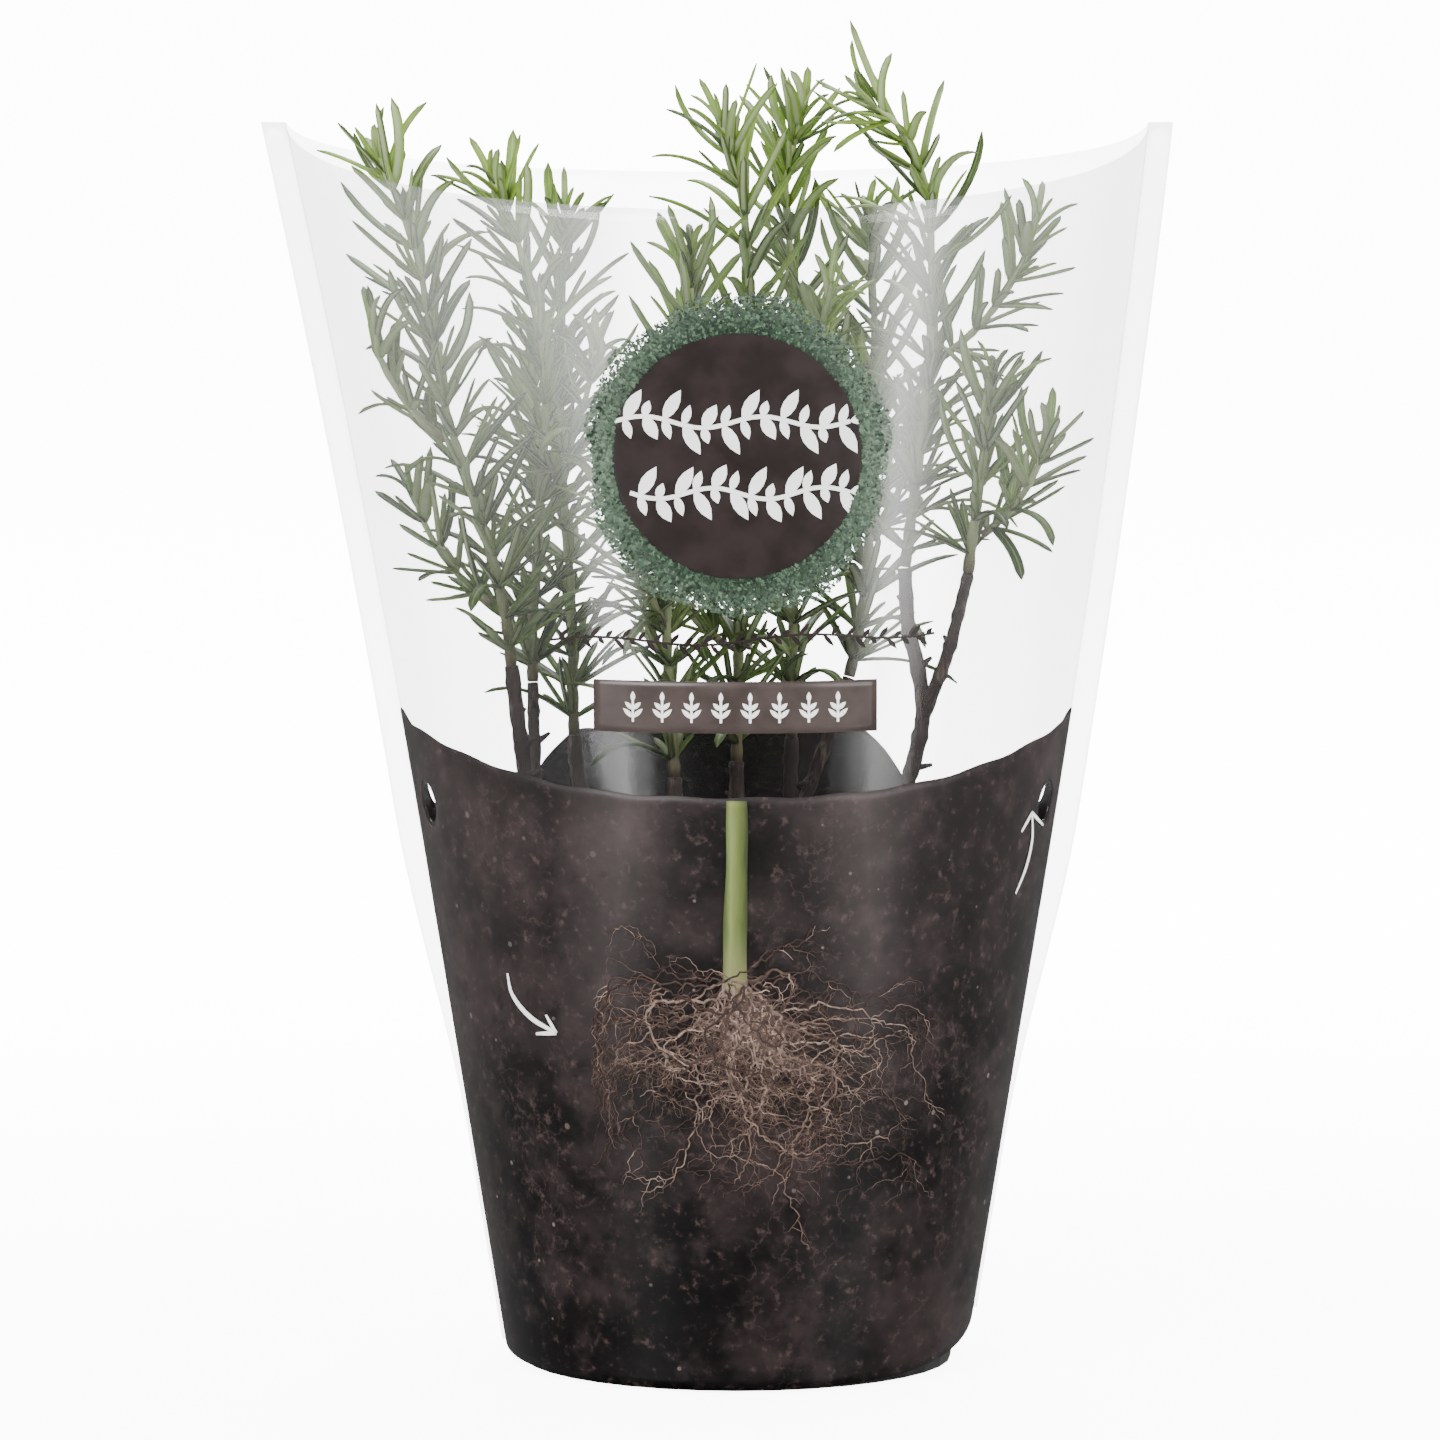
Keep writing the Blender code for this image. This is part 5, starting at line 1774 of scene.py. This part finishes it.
    def build_vines(self) -> None:
        """The two white vines on the badge: wavy stems with leaves turned to either side."""
        heap = Gathered()
        count = 24
        for rise, left, right in self.vines:
            spine = []
            for i in range(count + 1):
                share = i / count
                wave = math.copysign(self.vine_swing, rise) * math.sin(share * 2.0 * TURN)
                spine.append((left + (right - left) * share, self.badge_height + rise + wave))
            self.stroke(heap, spine, [0.0009] * (count + 1), self.vine_lift)
            for i in range(1, count, 2):
                side = 1 if i % 4 == 1 else -1
                length = 0.0066 if i % 3 else 0.0052
                self.leaflet(heap, spine[i], side * 1.05, (length, 0.0026), self.vine_lift)
                self.leaflet(heap, spine[i], -side * 1.25, (length * 0.62, 0.0018), self.vine_lift)
            self.leaflet(heap, spine[-1], 0.2, (0.0042, 0.0020), self.vine_lift)
        self.printed(heap.piece("badge_vines", smooth=False), self.white_ink)

    def build_band(self) -> None:
        """The dark band under the badge, with a row of plain leaf marks."""
        wide, tall = self.band_size
        columns, steps = 40, 6
        rows = []
        for r in range(steps + 1):
            z = self.band_height - tall / 2 + tall * r / steps
            rows.append([(wide * (c / columns - 0.5) + self.band_centre, z) for c in range(columns + 1)])
        self.printed(self.grid_skin("name_band", rows, self.band_lift), self.band_ink)
        marks = Gathered()
        for i in range(8):
            self.sprig(marks, (i - 3.5) * self.sprig_spacing + self.band_centre, self.band_height - 0.0030)
        self.printed(marks.piece("name_band_marks", smooth=False), self.white_ink)

    def sprig(self, heap: Gathered, x: float, foot: float) -> None:
        """Adds one small upright sprig with five leaves."""
        stem = [(x, foot), (x, foot + 0.0022), (x, foot + 0.0044)]
        self.stroke(heap, stem, [0.0005] * 3, self.sprig_lift)
        for rise, length in ((0.0008, 0.0026), (0.0024, 0.0021)):
            for side in (-1, 1):
                heading = math.pi / 2 + side * 0.80
                self.leaflet(heap, (x, foot + rise), heading, (length, 0.0009), self.sprig_lift)
        self.leaflet(heap, (x, foot + 0.0040), math.pi / 2, (0.0020, 0.0009), self.sprig_lift)

    def build_twig(self) -> None:
        """The fine leafy twig between badge and band."""
        heap = Gathered()
        left, right = self.twig_ends
        count = 48
        spots = []
        for i in range(count + 1):
            share = i / count
            spots.append((left + (right - left) * share,
                          self.twig_height + 0.0008 * math.sin(share * 12.0) + 0.0016 * (share - 0.5)))
        self.stroke(heap, spots, [0.0005] * (count + 1), self.twig_lift)
        for i in range(1, count):
            length = 0.0024 + 0.0008 * math.sin(i * 1.7)
            self.leaflet(heap, spots[i], 0.85 if i % 2 else -0.85, (length, 0.0009), self.twig_lift)
        self.printed(heap.piece("twig_flourish", smooth=False), self.dark_ink)

    def build_arrows(self) -> None:
        """Two small curved arrows: one down to the roots, and one up to the right vent."""
        heap = Gathered()
        for spots in self.arrows:
            route = smooth_route([Vector((x, 0.0, z)) for x, z in spots], 0.0012)
            flat = [(p.x, p.z) for p in route]
            widths = [0.0006 + 0.0006 * math.sin(math.pi * i / len(flat)) for i in range(len(flat))]
            self.stroke(heap, flat, widths, self.arrow_lift)
            (before_x, before_z), (x, z) = flat[-2:]
            heading = math.atan2(z - before_z, x - before_x)
            for side in (-1, 1):
                back = heading + math.pi + side * 0.6
                barb = [(x + reach * math.cos(back), z + reach * math.sin(back)) for reach in self.barb]
                self.stroke(heap, barb, [0.0009, 0.0009, 0.0006], self.arrow_lift)
        self.printed(heap.piece("pointing_arrows"), self.white_ink)

    def build(self) -> None:
        """Prints everything, from the earth out."""
        self.build_earth()
        self.build_roots()
        self.build_badge()
        self.build_band()
        self.build_twig()
        self.build_arrows()


# ---------------------------------------------------------------- studio


@dataclass
class Studio:
    """Pale floor, soft lights and the camera."""

    aim: Shares = (-0.0034, 0.0, 0.1285)
    distance: float = 2.0112
    elevation: float = 6.0
    lens: float = 251.4
    near_glow: float = 8.5
    far_glow: float = 12.0
    back_light: float = 3.0
    floor_reach: float = 12.0
    lamps: tuple[tuple[str, Shares, Pair, float], ...] = (
        ("strip_left", (-1.02, -1.10, -0.40), (0.30, 1.9), 4.5),
        ("strip_right", (1.20, -0.90, -0.40), (0.34, 1.9), 4.5),
        ("key", (-0.9, -1.3, 1.5), (1.1, 1.1), 54.0),
        ("fill", (1.2, -1.1, 0.9), (1.1, 1.1), 27.0),
        ("back", (0.3, 1.2, 1.4), (1.4, 0.9), 40.0),
    )

    def lamp(self, name: str, spot: Shares, size: Pair, power: float) -> None:
        """Adds a soft area lamp aimed at the plant's middle.

        Args:
            name: its name.
            spot: where it hangs.
            size: its width and height.
            power: its power in watts.
        """
        data = bpy.data.lights.new(name, "AREA")
        data.shape = "RECTANGLE"
        data.size, data.size_y = size
        data.energy = power
        lamp = bpy.data.objects.new(name, data)
        lamp.location = spot
        aim = Vector((0.0, 0.0, 0.13))
        lamp.rotation_euler = (aim - Vector(spot)).to_track_quat("-Z", "Y").to_euler()
        bpy.context.scene.collection.objects.link(lamp)

    def floor(self) -> None:
        """A pale floor that glows to the camera, white away from the pot and dimmer near it as painted shade.
        """
        corners = [Vector((x, y, 0.0)) * self.floor_reach for x, y in ((-1, -1), (1, -1), (1, 1), (-1, 1))]
        floor = new_piece("floor", corners, [[0, 1, 2, 3]])
        s = Sketch("studio_floor")
        away = s.node("VectorMath", {0: s.where()}, operation="LENGTH").outputs["Value"]
        # less glow near the pot: painted shade round it
        glow = s.scaled(s.step(away, 0.05, 0.7), self.far_glow - self.near_glow, self.near_glow)
        seen = s.math("MULTIPLY", glow, s.node("LightPath").outputs["Is Camera Ray"])
        tone = s.mix(s.noise(2.0, 2.0), (0.91,) * 3, (0.93,) * 3)
        matt = s.principled(Base_Color=tone, Roughness=0.95, Specular_IOR_Level=0.0)
        light = s.node("Emission", {"Color": WHITE, "Strength": seen}).outputs[0]
        floor.data.materials.append(s.end(s.node("AddShader", {0: matt, 1: light}).outputs[0]))
        floor.visible_glossy = False

    def sky(self) -> None:
        """A white backdrop, with softer light from above and behind than the backdrop's own."""
        s = Sketch("studio", world=True)
        _, back, up = s.node("SeparateXYZ", {0: s.node("TexCoord").outputs["Generated"]}).outputs
        path = s.node("LightPath")
        camera, mirrored = path.outputs["Is Camera Ray"], path.outputs["Is Glossy Ray"]
        light = s.math("MULTIPLY", s.scaled(s.step(up, -0.1, 0.9), 0.8, 0.18), s.scaled(mirrored, -0.7, 1.0))
        behind = s.scaled(mirrored, -0.9 * self.back_light, self.back_light)
        light = s.math("ADD", light, s.math("MULTIPLY", s.step(back, -0.1, 0.7), behind))
        seen = s.math("ADD", light, s.math("MULTIPLY", camera, self.far_glow))
        bpy.context.scene.world = s.end(s.node("Background", {"Color": WHITE, "Strength": seen}).outputs[0])

    def camera(self) -> None:
        """The camera, a little above the rim and straight in front."""
        data = bpy.data.cameras.new("camera")
        data.lens = self.lens
        data.sensor_width = 36.0
        data.clip_end = 50.0
        camera = bpy.data.objects.new("camera", data)
        aim = Vector(self.aim)
        tilt = math.radians(self.elevation)
        camera.location = aim + Vector((0.0, -math.cos(tilt), math.sin(tilt))) * self.distance
        camera.rotation_euler = (aim - camera.location).to_track_quat("-Z", "Y").to_euler()
        bpy.context.scene.collection.objects.link(camera)
        bpy.context.scene.camera = camera

    def build(self) -> None:
        """Sets the studio up."""
        self.floor()
        self.sky()
        self.camera()
        for lamp in self.lamps:
            self.lamp(*lamp)


def main() -> None:
    """Builds and dresses everything, in order."""
    logging.basicConfig(level=logging.INFO, format="%(name)s: %(message)s")
    _, pot_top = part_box("pot")
    _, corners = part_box("sleeve_front")
    shape = SleeveShape(pot_height=round(pot_top[2], 4), corner_height=round(corners[2], 4))
    growth = Growth(shape)
    growth.grow()
    NurseryPot().dress()
    PeatSurface(growth).build()
    WoodyStems(growth).build()
    LeafyShoots(growth).build()
    film = FilmSleeve(shape)
    film.build()
    SleevePrint(shape, film).build()
    Studio().build()


if __name__ == "__main__":
    main()
